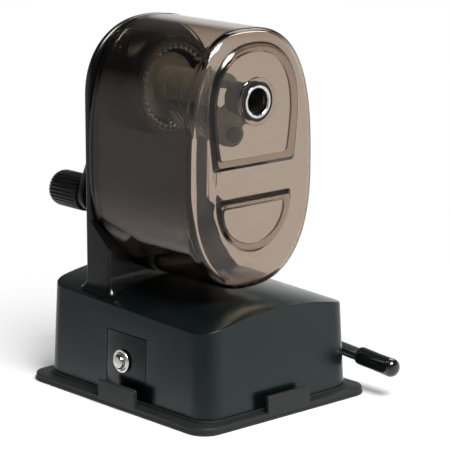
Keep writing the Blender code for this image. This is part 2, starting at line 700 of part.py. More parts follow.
def build_crank():
    """Steel shaft in a flanged bearing, moulded arm, nut, and a knob that turns on a rivet."""
    bearing = [(0.0049, 0.0170), (0.0049, 0.0016), (0.0078, 0.0016), (0.0078, 0),
               (SHAFT_R + GAP, 0), (SHAFT_R + GAP, 0.0170)]
    turned("shaft_bearing", bearing, BLACK_PLASTIC, stand, (0, REAR_BOSS_Y + GAP + 0.0016, AXIS_Z), (0, -1, 0), 32)
    add_part("crank_shaft", rod_y(SHAFT_R, DISC_BACK_Y + GAP, SHAFT_END_Y, sides=24), STEEL, crank)

    outline = []
    slant = Matrix.Rotation(ARM_ANGLE, 2)
    for middle, radius, start in ((0.0, HUB_R - 0.0012, 0.0), (ARM_LENGTH, ARM_END_R, math.pi)):
        for step in range(17):
            angle = start + math.pi * step / 16
            point = slant @ Vector((radius * math.cos(angle), radius * math.sin(angle) - middle))
            outline.append((-(-point.x), AXIS_Z + point.y))
    arm_bm = drawn_outline([(x, z) for x, z in outline], ARM_FRONT_Y, ARM_BACK_Y)
    bmesh.ops.scale(arm_bm, vec=(-1, 1, 1), verts=arm_bm.verts)
    long_edges = [e for e in arm_bm.edges if abs(e.verts[0].co.y - e.verts[1].co.y) < 1e-6]
    bevel(outwards(arm_bm), long_edges, 0.0006, 1)
    arm = add_part("crank_arm", arm_bm, BLACK_PLASTIC, crank)
    hub = rod_y(HUB_R, REAR_BOSS_Y + 0.0026, ARM_BACK_Y - 0.0010)
    boolean(arm, add_cutter("arm_hub", hub), 'UNION')
    boolean(arm, add_cutter("shaft_way", rod_y(SHAFT_R + GAP, REAR_BOSS_Y, ARM_BACK_Y + 0.01, sides=24)))
    rivet_way = rod_y(RIVET_R + GAP, ARM_FRONT_Y - 0.01, ARM_BACK_Y + 0.01, knob_place.x, knob_place.z, 20)
    boolean(arm, add_cutter("rivet_way", rivet_way))

    nut = rod_y(0.0052, ARM_BACK_Y + GAP, ARM_BACK_Y + 0.0030, sides=6)
    nut_part = add_part("crank_nut", nut, STEEL, crank)
    boolean(nut_part, add_cutter("nut_thread", rod_y(SHAFT_R + GAP, ARM_BACK_Y - 0.01, SHAFT_END_Y + 0.01, sides=24)))

    rivet = [(0, 0.0188), (RIVET_R, 0.0188), (RIVET_R, 0), (0.0042, 0), (0.0036, -0.0011), (0, -0.0014)]
    turned("knob_rivet", rivet, STEEL, crank, (knob_place.x, ARM_FRONT_Y - GAP, knob_place.z), (0, 1, 0), 24)


def build_knob():
    """Ribbed grip that turns freely on its rivet."""
    length = KNOB_END_Y - KNOB_FRONT_Y
    stations = ((0.0, -0.0005), (0.0006, 0.0), (length - 0.0030, -0.0001), (length - 0.0012, -0.0007),
                (length - 0.0002, -0.0022), (length, -0.0040))
    bm = bmesh.new()
    loops = []
    for y, change in stations:
        ring = []
        for rib in range(KNOB_RIBS):
            for half, depth in ((0.0, 0.0), (0.5, 0.0006)):
                angle = 2 * math.pi * (rib + half) / KNOB_RIBS
                radius = KNOB_R + change - depth
                ring.append(bm.verts.new((knob_place.x + radius * math.cos(angle), KNOB_FRONT_Y + y,
                                          knob_place.z + radius * math.sin(angle))))
        loops.append(ring)
    for first, second in zip(loops, loops[1:]):
        for i in range(len(first)):
            bm.faces.new((first[i - 1], first[i], second[i], second[i - 1]))
    bm.faces.new(loops[0])
    bm.faces.new(loops[-1])
    knob = add_part("crank_knob", outwards(bm), BLACK_PLASTIC, knob_pivot)
    bore = rod_y(RIVET_R + GAP, KNOB_FRONT_Y - 0.002, KNOB_FRONT_Y + 0.0155, knob_place.x, knob_place.z, 24)
    boolean(knob, add_cutter("knob_bore", bore))
    return knob


# ---- Vacuum lever -----------------------------------------------------------------------------


def lever_path():
    """Middle line of the bent rod: across the base, round the bend, forwards and slightly down."""
    along = Vector((0, -math.cos(LEVER_DROP), -math.sin(LEVER_DROP)))
    corner = Vector((LEVER_ARM_X, 0, LEVER_Z))
    points = [Vector((LEVER_LEFT_X, 0, LEVER_Z))]
    middle = corner - Vector((LEVER_BEND_R, 0, 0)) + along * LEVER_BEND_R
    for step in range(9):
        angle = math.pi / 2 * step / 8
        points.append(middle + Vector((LEVER_BEND_R, 0, 0)) * math.sin(angle) - along * LEVER_BEND_R * math.cos(angle))
    points.append(corner + along * (LEVER_REACH - 0.0022))
    return points


def rod_along(name, points, radius, finish, parent):
    """A round rod along a list of points, as one closed mesh."""
    curve = bpy.data.curves.new(name, 'CURVE')
    curve.dimensions = '3D'
    curve.bevel_depth = radius
    curve.bevel_resolution = 4
    curve.use_fill_caps = True
    line = curve.splines.new('POLY')
    line.points.add(len(points) - 1)
    for spot, place in zip(line.points, points):
        spot.co = (*place, 1)
    guide = bpy.data.objects.new(name + "_guide", curve)
    CUTTERS.objects.link(guide)
    bpy.context.view_layer.update()
    evaluated = guide.evaluated_get(bpy.context.evaluated_depsgraph_get())
    mesh = bpy.data.meshes.new_from_object(evaluated)
    bm = bmesh.new()
    bm.from_mesh(mesh)
    bmesh.ops.remove_doubles(bm, verts=bm.verts, dist=1e-6)
    bpy.data.objects.remove(guide, do_unlink=True)
    return add_part(name, bm, finish, parent)


def build_lever():
    """Bent rod through the base, its cap, washers, and the eccentric that lifts the pad."""
    rod_along("lever_rod", lever_path(), LEVER_ROD_R, STEEL, lever)
    along = Vector((0, -math.cos(LEVER_DROP), -math.sin(LEVER_DROP)))
    tip = Vector((LEVER_ARM_X, 0, LEVER_Z)) + along * LEVER_REACH
    cap = [(0, CAP_LENGTH), (0.0019, CAP_LENGTH - 0.0004), (0.0031, CAP_LENGTH - 0.0014),
           (CAP_R, CAP_LENGTH - 0.0034), (CAP_R, 0.0006), (CAP_R - 0.0004, 0), (LEVER_ROD_R + GAP, 0),
           (LEVER_ROD_R + GAP, CAP_LENGTH - 0.0018), (0, CAP_LENGTH - 0.0018)]
    turned("lever_cap", cap, VINYL, lever, tip - along * CAP_LENGTH, along, 28)
    for name, side, outer, thick in (("push_nut", -1, 0.0047, 0.0008), ("lever_washer", 1, 0.0052, 0.0006)):
        ring = ring_profile(outer, LEVER_ROD_R + GAP, thick)
        turned(name, ring, STEEL, lever, (side * (BASE_HALF_W + GAP), 0, LEVER_Z), (side, 0, 0), 28)

    cam_place = Vector((-CAM_HALF_T, CAM_OFFSET * math.cos(CAM_LEAD), LEVER_Z + CAM_OFFSET * math.sin(CAM_LEAD)))
    cam = add_part("lift_cam", rod(CAM_R, 2 * CAM_HALF_T, cam_place, (1, 0, 0), 32), BLACK_PLASTIC, lever)
    bore = rod(LEVER_ROD_R + 0.0001, 0.020, (-0.010, 0, LEVER_Z), (1, 0, 0), 32)
    boolean(cam, add_cutter("cam_bore", bore))


def build_lift():
    """Yoke round the eccentric, and the plate that it draws the diaphragm up with."""
    middle_z = LEVER_Z + CAM_OFFSET * math.sin(CAM_LEAD)
    window_h = CAM_R + 0.0005
    window_w = CAM_R + CAM_OFFSET + 0.0007
    foot_z = 0.0092
    yoke = add_part("lift_yoke", block((-YOKE_HALF_T, -window_w - 0.0024, foot_z),
                                       (YOKE_HALF_T, window_w + 0.0024, middle_z + window_h + 0.0026)),
                    BLACK_PLASTIC, lift)
    window = block((-0.02, -window_w, middle_z - window_h), (0.02, window_w, middle_z + window_h))
    boolean(yoke, add_cutter("yoke_window", window))
    plate = rounded_slab(0.0150, 0.0200, 0.006, foot_z - GAP - 0.0014, foot_z - GAP, 4)
    add_part("lift_plate", plate, STEEL, lift)


build_housing()
build_side_panel("side_panel_left", -1)
build_side_panel("side_panel_right", 1)
build_pad_rim()
build_diaphragm()
build_column()
build_column_screw("column_screw_left", -SCREW_X)
build_column_screw("column_screw_right", SCREW_X)
build_receptacle()
build_guide()
build_ring_gear()
build_pinion()
build_cutter()
build_carrier()
build_crank()
build_knob()
build_lever()
build_lift()
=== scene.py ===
import json
import math

import bmesh
import bpy
from mathutils import Matrix, Vector


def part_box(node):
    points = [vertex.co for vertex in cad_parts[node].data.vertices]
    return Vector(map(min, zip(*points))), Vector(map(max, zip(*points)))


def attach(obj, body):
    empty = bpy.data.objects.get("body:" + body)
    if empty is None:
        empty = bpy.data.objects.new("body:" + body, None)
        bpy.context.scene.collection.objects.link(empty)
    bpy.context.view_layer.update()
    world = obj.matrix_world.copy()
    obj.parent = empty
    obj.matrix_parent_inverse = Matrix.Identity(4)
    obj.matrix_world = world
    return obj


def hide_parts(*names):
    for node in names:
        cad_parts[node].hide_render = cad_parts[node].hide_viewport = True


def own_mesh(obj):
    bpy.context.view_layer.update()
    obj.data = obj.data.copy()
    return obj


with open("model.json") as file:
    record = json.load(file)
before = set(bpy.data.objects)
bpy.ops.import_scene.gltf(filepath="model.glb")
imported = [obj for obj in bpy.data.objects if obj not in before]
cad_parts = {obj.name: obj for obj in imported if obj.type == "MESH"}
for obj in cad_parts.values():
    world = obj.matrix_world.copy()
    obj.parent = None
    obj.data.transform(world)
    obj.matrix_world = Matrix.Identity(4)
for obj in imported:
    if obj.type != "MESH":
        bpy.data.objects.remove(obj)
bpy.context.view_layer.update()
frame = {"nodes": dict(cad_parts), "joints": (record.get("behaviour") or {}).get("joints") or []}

# ---- Studio -----------------------------------------------------------------------------------
# The sharpener stands on a pale table top. A large soft light hangs in front of it and above it,
# a second one above and behind, and white walls light the sides. The lens is long, as in a shop.

pad_low, pad_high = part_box("pad_rim")
BASE_X = (pad_low.x + pad_high.x) / 2
BASE_Y = (pad_low.y + pad_high.y) / 2
VIEW_AZIMUTH = math.radians(-42.01)
VIEW_ELEVATION = math.radians(12.87)
VIEW_DISTANCE = 0.9025
VIEW_LENS = 179.33
AIM_ACROSS = 0.01132
AIM_HEIGHT = 0.06701
TABLE_RADIUS = 0.60
TABLE_SOLID_RADIUS = 0.05


class Socket:
    """A shader socket that sums and products can be written on; each adds a Math node."""

    def __init__(self, nodes, socket):
        self.nodes = nodes
        self.socket = socket

    def maths(self, operation, first, second=0.0):
        return self.nodes.add("ShaderNodeMath", {"operation": operation}, {0: first, 1: second})

    def __add__(self, other):
        return self.maths("ADD", self, other)

    def __radd__(self, other):
        return self.maths("ADD", other, self)

    def __sub__(self, other):
        return self.maths("SUBTRACT", self, other)

    def __rsub__(self, other):
        return self.maths("SUBTRACT", other, self)

    def __mul__(self, other):
        return self.maths("MULTIPLY", self, other)

    def __rmul__(self, other):
        return self.maths("MULTIPLY", other, self)

    def __truediv__(self, other):
        return self.maths("DIVIDE", self, other)

    def __pow__(self, other):
        return self.maths("POWER", self, other)


class Nodes:
    """The node tree of one material or world."""

    def __init__(self, owner):
        owner.use_nodes = True
        self.owner = owner
        self.tree = owner.node_tree
        self.tree.nodes.clear()

    def add(self, kind, settings=None, inputs=None, output=0):
        """Add a node, set it up, feed its sockets, and give back one of its outputs."""
        node = self.tree.nodes.new(kind)
        for name, value in (settings or {}).items():
            if name == "stops":
                ramp = node.color_ramp
                ramp.elements[0].position = value[0][0]
                ramp.elements[-1].position = value[-1][0]
                for position, _ in value[1:-1]:
                    ramp.elements.new(position)
                for element, (_, level) in zip(ramp.elements, value):
                    element.color = (level, level, level, 1.0)
            else:
                setattr(node, name, value)
        for name, value in (inputs or {}).items():
            if isinstance(value, Socket):
                self.tree.links.new(value.socket, node.inputs[name])
            else:
                node.inputs[name].default_value = value
        return Socket(self, node.outputs[output]) if node.outputs else None

    def mix(self, share, first, second):
        """A colour between two colours."""
        return self.add("ShaderNodeMix", {"data_type": "RGBA"}, {0: share, 6: first, 7: second}, 2)

    def place(self):
        """Where a point lies on the piece, in metres."""
        return self.add("ShaderNodeTexCoord", output=3)

    def along(self, letter, spot=None):
        """One coordinate of a point, which is a point of the piece unless another is given."""
        return self.add("ShaderNodeSeparateXYZ", None, {0: spot or self.place()}, "XYZ".index(letter))

    def noise(self, scale, detail=2.0, stretch=(1, 1, 1), roughness=0.5):
        """Cloudy values about 0.5, with features of about 1/scale metres."""
        spot = self.place()
        if stretch != (1, 1, 1):
            spot = self.add("ShaderNodeMapping", None, {"Vector": spot, "Scale": stretch})
        return self.add("ShaderNodeTexNoise", None,
                        {"Vector": spot, "Scale": scale, "Detail": detail, "Roughness": roughness})

    def ramp(self, value, *stops):
        """A value remapped through (position, level) stops."""
        return self.add("ShaderNodeValToRGB", {"stops": stops}, {"Fac": value})

    def bump(self, height, depth, strength=1.0):
        """A surface normal from a height between 0 and 1, depth metres deep."""
        return self.add("ShaderNodeBump", None, {"Height": height, "Distance": depth, "Strength": strength})

    def coated(self, inputs):
        """End the tree in one principled shader, and give back the material."""
        shader = self.add("ShaderNodeBsdfPrincipled", None, inputs)
        self.add("ShaderNodeOutputMaterial", None, {"Surface": shader})
        return self.owner


def studio_world():
    """White to the eye, and for reflections brighter at table height than overhead."""
    world = bpy.data.worlds.new("studio_walls")
    bpy.context.scene.world = world
    nodes = Nodes(world)
    way = nodes.add("ShaderNodeTexCoord", output=0)
    rise = nodes.ramp(nodes.along("Z", way) * 0.5 + 0.5, (0.0, 0.85), (0.44, 0.85), (0.50, 1.0), (0.56, 0.90),
                      (0.66, 0.12), (1.0, 0.06))
    walls = rise * nodes.ramp(nodes.along("X", way) * 0.5 + 0.5, (0.15, 0.38), (0.75, 1.0))
    seen = nodes.add("ShaderNodeLightPath", output=0)
    through = nodes.add("ShaderNodeLightPath", output=6)
    bounces = nodes.add("ShaderNodeLightPath", output=9) + nodes.add("ShaderNodeLightPath", output=10)
    direct = nodes.ramp(bounces, (0.0, 1.0), (0.9, 0.0))
    straight = seen.maths("MAXIMUM", seen, through * direct)
    colour = nodes.mix(straight, walls, (1.0, 1.0, 1.0, 1.0))
    background = nodes.add("ShaderNodeBackground", None, {"Color": colour, "Strength": 1.0})
    nodes.add("ShaderNodeOutputWorld", None, {"Surface": background})


def table_top():
    """Round pale table top whose rim fades into the white room."""
    bm = bmesh.new()
    bmesh.ops.create_circle(bm, cap_ends=True, segments=96, radius=TABLE_RADIUS)
    bmesh.ops.translate(bm, vec=(BASE_X, BASE_Y, -0.0001), verts=bm.verts)
    mesh = bpy.data.meshes.new("table_top")
    bm.to_mesh(mesh)
    bm.free()
    material = bpy.data.materials.new("table_paint")
    nodes = Nodes(material)
    spot = nodes.place()
    away = nodes.add("ShaderNodeVectorMath", {"operation": "LENGTH"}, {0: spot}, 1)
    solid = nodes.ramp(away / TABLE_RADIUS, (TABLE_SOLID_RADIUS / TABLE_RADIUS, 1.0), (0.18, 0.35),
                       (0.50, 0.0))
    tone = 0.80 + 0.02 * nodes.noise(9.0, 4.0)
    colour = nodes.add("ShaderNodeCombineColor", None, {0: tone, 1: tone, 2: tone})
    paint = nodes.add("ShaderNodeBsdfDiffuse", None, {"Color": colour, "Roughness": 0.3})
    clear = nodes.add("ShaderNodeBsdfTransparent")
    faded = nodes.add("ShaderNodeMixShader", None, {0: solid, 1: clear, 2: paint})
    nodes.add("ShaderNodeOutputMaterial", None, {"Surface": faded})
    mesh.materials.append(material)
    table = bpy.data.objects.new("table_top", mesh)
    bpy.context.scene.collection.objects.link(table)


def soft_light(name, direction, distance, side, radiance):
    """Square soft light that faces the sharpener's head."""
    lamp = bpy.data.lights.new(name, 'AREA')
    lamp.size = side
    lamp.energy = radiance * math.pi * side * side
    light = bpy.data.objects.new(name, lamp)
    way = Vector(direction).normalized()
    light.location = Vector((BASE_X, BASE_Y, 0.09)) + way * distance
    light.rotation_mode = 'QUATERNION'
    light.rotation_quaternion = way.to_track_quat('Z', 'Y')
    bpy.context.scene.collection.objects.link(light)


def viewpoint():
    """The camera, a long lens at the height of a person who sits at the table."""
    back = Vector((math.sin(VIEW_AZIMUTH) * math.cos(VIEW_ELEVATION),
                   -math.cos(VIEW_AZIMUTH) * math.cos(VIEW_ELEVATION), math.sin(VIEW_ELEVATION)))
    right = Vector((math.cos(VIEW_AZIMUTH), math.sin(VIEW_AZIMUTH), 0))
    aim = Vector((BASE_X, BASE_Y, AIM_HEIGHT)) + right * AIM_ACROSS
    lens = bpy.data.cameras.new("shop_lens")
    lens.lens = VIEW_LENS
    lens.sensor_width = 36.0
    lens.clip_start = 0.05
    camera = bpy.data.objects.new("shop_camera", lens)
    camera.location = aim + back * VIEW_DISTANCE
    camera.rotation_mode = 'QUATERNION'
    camera.rotation_quaternion = (-back).to_track_quat('-Z', 'Y')
    bpy.context.scene.collection.objects.link(camera)
    bpy.context.scene.camera = camera


viewpoint()
studio_world()
table_top()
soft_light("front_soft_light", (-0.10, -0.54, 0.77), 1.25, 0.58, 24.0)
soft_light("back_soft_light", (0.62, 0.30, 0.72), 1.30, 0.60, 3.5)
bpy.context.scene.view_settings.view_transform = 'Standard'

# ---- Base housing -----------------------------------------------------------------------------
# Hollow moulding in charcoal plastic with a fine satin grain. Its top is crowned and slopes down
# to the front, its sides lean in, and a notch in each side takes an insert panel.

HOUSING_HALF_W = 0.0397
HOUSING_HALF_D = 0.0500
HOUSING_LEAN = 0.0014
HOUSING_CORNER = 0.0090
HOUSING_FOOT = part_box("base_housing")[0].z
HOUSING_FRONT_Z = 0.0371
HOUSING_BACK_Z = 0.0407
HOUSING_CROWN = 0.0052
HOUSING_WALL = 0.0022
RIM_ROUND = 0.0013
panel_low, panel_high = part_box("side_panel_left")
PANEL_FRONT = panel_low.y - BASE_Y
PANEL_BACK = panel_high.y - BASE_Y
PANEL_TOP = panel_high.z
SEAM = 0.0003
CHARCOAL = (0.0028, 0.0050, 0.0050)
GRAIN_DEPTH = 0.000012


def shade(colour, times, plus=0.0):
    """A colour made darker or lighter."""
    return tuple(min(part * times + plus, 1.0) for part in colour) + (1.0,)


def moulded(name, colour, roughness, grain_scale=2400.0, cloud=0.25, sheen=(1, 1, 1)):
    """Injection-moulded plastic: eroded grain, faint flow clouds, and rubbed patches that shine more."""
    nodes = Nodes(bpy.data.materials.new(name))
    flow = nodes.noise(38.0, 3.0)
    grain = nodes.noise(grain_scale, 2.0)
    rubbed = nodes.ramp(nodes.noise(95.0, 5.0, roughness=0.65), (0.52, 0.0), (0.72, 1.0))
    specks = nodes.ramp(nodes.noise(900.0, 1.0), (0.70, 0.0), (0.78, 1.0))
    clean = nodes.mix(flow, shade(colour, 1 - cloud), shade(colour, 1 + cloud))
    tone = nodes.mix(specks * 0.35, clean, shade(colour, 1, 0.005))
    gloss = roughness + (flow - 0.5) * 0.08 + (grain - 0.5) * 0.06 - rubbed * 0.05
    return nodes.coated({
        "Base Color": tone, "Roughness": gloss, "IOR": 1.5, "Specular Tint": (*sheen, 1.0),
        "Normal": nodes.bump(grain, GRAIN_DEPTH)})


def block(low, high):
    """A closed box between two corners."""
    bm = bmesh.new()
    bmesh.ops.create_cube(bm, size=1)
    bmesh.ops.scale(bm, vec=[b - a for a, b in zip(low, high)], verts=bm.verts)
    bmesh.ops.translate(bm, vec=[(a + b) / 2 for a, b in zip(low, high)], verts=bm.verts)
    return bm


def rounded(bm, edges, width, steps):
    """Round some edges."""
    bmesh.ops.bevel(bm, geom=edges, offset=width, offset_type='OFFSET', segments=steps, profile=0.5,
                    affect='EDGES', clamp_overlap=True, material=-1)
    return bm


def softened(bm, width, steps=2, over=math.radians(40)):
    """Round every edge that is sharper than a given angle."""
    bmesh.ops.remove_doubles(bm, verts=bm.verts, dist=1e-6)
    bmesh.ops.recalc_face_normals(bm, faces=bm.faces)
    sharp = [e for e in bm.edges if e.is_manifold and e.calc_face_angle(0) > over]
    return rounded(bm, sharp, width, steps)


def slab(half_w, half_d, corner, low_z, high_z, steps=10):
    """A box with rounded upright corners."""
    bm = block((-half_w, -half_d, low_z), (half_w, half_d, high_z))
    upright = [e for e in bm.edges if abs(e.verts[0].co.z - e.verts[1].co.z) > 1e-5]
    return rounded(bm, upright, corner, steps)


def carved(bm, other, how='DIFFERENCE'):
    """Cut one closed solid out of another, or join the two."""
    stock = []
    for source in (bm, other):
        bmesh.ops.remove_doubles(source, verts=source.verts, dist=1e-7)
        bmesh.ops.recalc_face_normals(source, faces=source.faces)
        mesh = bpy.data.meshes.new("stock")
        source.to_mesh(mesh)
        source.free()
        stock.append(bpy.data.objects.new("stock", mesh))
        bpy.context.scene.collection.objects.link(stock[-1])
    step = stock[0].modifiers.new("carve", 'BOOLEAN')
    step.operation = how
    step.object = stock[1]
    bpy.context.view_layer.update()
    shaped = bpy.data.meshes.new_from_object(stock[0].evaluated_get(bpy.context.evaluated_depsgraph_get()))
    result = bmesh.new()
    result.from_mesh(shaped)
    for piece in stock:
        bpy.data.meshes.remove(piece.data)
    bpy.data.meshes.remove(shaped)
    return result


def finished(name, bm, material, body, stands_for=(), angle=38):
    """Close and shade a piece drawn about the base's middle, and fix it to the body it moves with."""
    bmesh.ops.remove_doubles(bm, verts=bm.verts, dist=1e-6)
    bmesh.ops.recalc_face_normals(bm, faces=bm.faces)
    bmesh.ops.translate(bm, vec=(BASE_X, BASE_Y, 0), verts=bm.verts)
    mesh = bpy.data.meshes.new(name)
    bm.to_mesh(mesh)
    bm.free()
    mesh.shade_smooth()
    mesh.set_sharp_from_angle(angle=math.radians(angle))
    mesh.materials.append(material)
    piece = bpy.data.objects.new(name, mesh)
    bpy.context.scene.collection.objects.link(piece)
    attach(piece, body)
    if stands_for:
        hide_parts(*stands_for)
    return piece


def housing_top(x, y):
    """Height of the crowned, sloping top."""
    side = HOUSING_FRONT_Z + (HOUSING_BACK_Z - HOUSING_FRONT_Z) * (y + HOUSING_HALF_D) / (2 * HOUSING_HALF_D)
    return side + HOUSING_CROWN * (1 - (x / HOUSING_HALF_W) ** 2)


def housing_form(grow, foot, strips=28):
    """The housing's outside as a closed solid, larger by grow everywhere but at its foot."""
    bm = slab(HOUSING_HALF_W + grow, HOUSING_HALF_D + grow, HOUSING_CORNER + grow, foot, HOUSING_BACK_Z, 12)
    for cut in range(1, strips):
        x = HOUSING_HALF_W * (2 * cut / strips - 1)
        bmesh.ops.bisect_plane(bm, geom=bm.verts[:] + bm.edges[:] + bm.faces[:],
                               plane_co=(x, 0, 0), plane_no=(1, 0, 0))
    for vert in bm.verts:
        if vert.co.z > HOUSING_BACK_Z - 0.0001:
            vert.co.z = housing_top(vert.co.x, vert.co.y) + grow
            vert.co.x *= 1 - HOUSING_LEAN / HOUSING_HALF_W
            vert.co.y *= 1 - HOUSING_LEAN / HOUSING_HALF_D
    return bm


def base_housing():
    """The shell with its rounded rim, its hollow and its two notches."""
    bm = housing_form(0, HOUSING_FOOT)
    bmesh.ops.recalc_face_normals(bm, faces=bm.faces)
    rim = []
    for edge in bm.edges:
        first, second = (face.normal.z for face in edge.link_faces)
        if abs(min(first, second)) < 0.5 < max(first, second):
            rim.append(edge)
    rounded(bm, rim, RIM_ROUND, 4)
    bm = carved(bm, housing_form(-HOUSING_WALL, HOUSING_FOOT - 0.001))
    notch = block((-HOUSING_HALF_W - 0.01, PANEL_FRONT - SEAM, HOUSING_FOOT - 0.002),
                  (HOUSING_HALF_W + 0.01, PANEL_BACK + SEAM, PANEL_TOP + SEAM))
    return carved(bm, notch)


charcoal = moulded("charcoal_plastic", CHARCOAL, 0.24, sheen=(0.84, 1.0, 0.98))
finished("housing_shell", base_housing(), charcoal, "stand", ["base_housing"])

# ---- Insert panels ----------------------------------------------------------------------------
# A snap-in panel of the same plastic fills the notch in each side, with a thin dark seam round it.
# Each has a hole for one end of the lever's shaft.

shaft_low, shaft_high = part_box("push_nut")
SHAFT_Z = (shaft_low.z + shaft_high.z) / 2
SHAFT_HOLE_R = 0.0031


def spun(profile, place, direction, steps=64):
    """Turn a profile of (radius, height) points about the line from place along direction."""
    bm = bmesh.new()
    points = [bm.verts.new((radius, 0, height)) for radius, height in profile]
    lines = [bm.edges.new(pair) for pair in zip(points, points[1:])]
    if profile[0][0] > 0:
        lines.append(bm.edges.new((points[-1], points[0])))
    bmesh.ops.spin(bm, geom=points + lines, cent=(0, 0, 0), axis=(0, 0, 1), angle=2 * math.pi,
                   steps=steps, use_merge=True)
    turn = Vector(direction).to_track_quat('Z', 'Y').to_matrix().to_4x4()
    bmesh.ops.transform(bm, matrix=Matrix.Translation(place) @ turn, verts=bm.verts)
    bmesh.ops.remove_doubles(bm, verts=bm.verts, dist=1e-6)
    return bm


def plug(radius, place, direction, length, steps=48):
    """A plain closed cylinder, for cutting holes."""
    return spun([(0, 0), (radius, 0), (radius, length), (0, length)], place, direction, steps)


def insert_panel(side):
    """One panel, leaning with the housing's side."""
    top_x = HOUSING_HALF_W - HOUSING_LEAN * (PANEL_TOP - HOUSING_FOOT) / (HOUSING_BACK_Z - HOUSING_FOOT)
    bm = block((HOUSING_HALF_W - HOUSING_WALL, PANEL_FRONT, HOUSING_FOOT),
               (HOUSING_HALF_W, PANEL_BACK, PANEL_TOP))
    for vert in bm.verts:
        if vert.co.z > PANEL_TOP - 0.001:
            vert.co.x += top_x - HOUSING_HALF_W
    softened(bm, 0.00018, 2)
    bmesh.ops.scale(bm, vec=(side, 1, 1), verts=bm.verts)
    hole = plug(SHAFT_HOLE_R, (side * (HOUSING_HALF_W - 0.006), 0, SHAFT_Z), (side, 0, 0), 0.012)
    return carved(bm, hole)


for word, side in (("left", -1), ("right", 1)):
    finished(word + "_insert", insert_panel(side), charcoal, "stand",
             ["side_panel_" + word])

# ---- Vacuum pad -------------------------------------------------------------------------------
# One dark rubber moulding that seals on the table: a flange with a thin sealing lip, a raised band
# that the housing stands on, and four upright lips to peel it off with. A domed sheet closes it.

FLANGE_HALF_W = (pad_high.x - pad_low.x) / 2
FLANGE_HALF_D = (pad_high.y - pad_low.y) / 2
FLANGE_CORNER = 0.0085
FLANGE_T = 0.0029
LIP_T = 0.0010
LIP_STEP = 0.00035
BAND_T = 0.0038
TAB_HALF_L = 0.0113
TAB_T = 0.0018
TAB_ROUND = 0.0012
TAB_TOP = pad_high.z
SIDE_TAB_Y = -0.0027
SHEET_LOW, SHEET_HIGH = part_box("pad_diaphragm")
SHEET_T = 0.0014


def loop(bm, points):
    """A closed line of edges through points."""
    verts = [bm.verts.new(point) for point in points]
    return [bm.edges.new((verts[i - 1], verts[i])) for i in range(len(verts))]


def lofted(outlines):
    """A closed solid through outlines that have the same number of points."""
    bm = bmesh.new()
    loops = [loop(bm, points) for points in outlines]
    for first, second in zip(loops, loops[1:]):
        bmesh.ops.bridge_loops(bm, edges=first + second)
    for end in (loops[0], loops[-1]):
        bmesh.ops.contextual_create(bm, geom=end)
    return bm


def pushed(points, front, back):
    """A flat outline in X and Z, drawn out along Y."""
    return lofted([[(x, y, z) for x, z in points] for y in (front, back)])


def rubber_material(name, tone):
    """Soft black rubber, dulled by a little dust that sits in its pores."""
    nodes = Nodes(bpy.data.materials.new(name))
    cloud = nodes.noise(55.0, 4.0)
    pores = nodes.noise(3200.0, 2.0)
    dust = nodes.ramp(nodes.noise(420.0, 4.0, roughness=0.7), (0.55, 0.0), (0.80, 1.0))
    clean = nodes.mix(cloud, shade(tone, 0.8), shade(tone, 1.2))
    colour = nodes.mix(dust * 0.30, clean, shade(tone, 1, 0.03))
    return nodes.coated({
        "Base Color": colour, "Roughness": 0.52 + cloud * 0.10 + dust * 0.08,
        "Normal": nodes.bump(pores * 0.7 + cloud * 0.3, 0.00003)})


def peel_tab(along_x, edge, middle):
    """One upright lip near the flange's outer edge, with small rounded shoulders and eased edges."""
    ease = 0.0003
    outer = abs(edge)
    outlines = []
    for across, inset in ((outer - TAB_T, ease), (outer - TAB_T + ease, 0.0),
                          (outer - ease, 0.0), (outer, ease)):
        outline = [(-TAB_HALF_L + inset, 0.0012), (TAB_HALF_L - inset, 0.0012)]
        for side in (1, -1):
            for step in range(7):
                angle = math.pi / 2 * (step if side > 0 else 6 - step) / 6
                outline.append((side * (TAB_HALF_L - TAB_ROUND + (TAB_ROUND - inset) * math.cos(angle)),
                                TAB_TOP - TAB_ROUND + (TAB_ROUND - inset) * math.sin(angle)))
        if along_x:
            outlines.append([(middle + along, math.copysign(across, edge), z) for along, z in outline])
        else:
            outlines.append([(math.copysign(across, edge), middle + along, z) for along, z in outline])
    return lofted(outlines)


def pad_flange():
    """The flange with its lip, band and peel tabs, open in the middle."""
    bm = slab(FLANGE_HALF_W, FLANGE_HALF_D, FLANGE_CORNER, 0.0, LIP_T)
    softened(bm, 0.0002, 2)
    upper = slab(FLANGE_HALF_W - LIP_STEP, FLANGE_HALF_D - LIP_STEP, FLANGE_CORNER - LIP_STEP,
                 0.0004, FLANGE_T)
    bm = carved(bm, softened(upper, 0.0005, 3), 'UNION')
    band = slab(HOUSING_HALF_W + 0.0008, HOUSING_HALF_D + 0.0008, HOUSING_CORNER, 0.0010, BAND_T)
    bm = carved(bm, softened(band, 0.0003, 2), 'UNION')
    for side in (-1, 1):
        bm = carved(bm, peel_tab(False, side * (FLANGE_HALF_W - 0.0001), SIDE_TAB_Y), 'UNION')
        bm = carved(bm, peel_tab(True, side * (FLANGE_HALF_D - 0.0001), 0.0), 'UNION')
    return carved(bm, slab(0.0340, 0.0440, 0.012, -0.01, 0.02))


def sheet_ring(inset, height):
    """A level rounded rectangle, inset from the sheet's outline."""
    corner = max(0.0117 - inset, 0.0030)
    half_w = (SHEET_HIGH.x - SHEET_LOW.x) / 2 - inset - corner
    half_d = (SHEET_HIGH.y - SHEET_LOW.y) / 2 - inset - corner
    points = []
    for quarter, (side, end) in enumerate(((1, 1), (-1, 1), (-1, -1), (1, -1))):
        for step in range(9):
            angle = math.pi / 2 * (quarter + step / 8)
            points.append((side * half_w + corner * math.cos(angle),
                           end * half_d + corner * math.sin(angle), height))
    return points


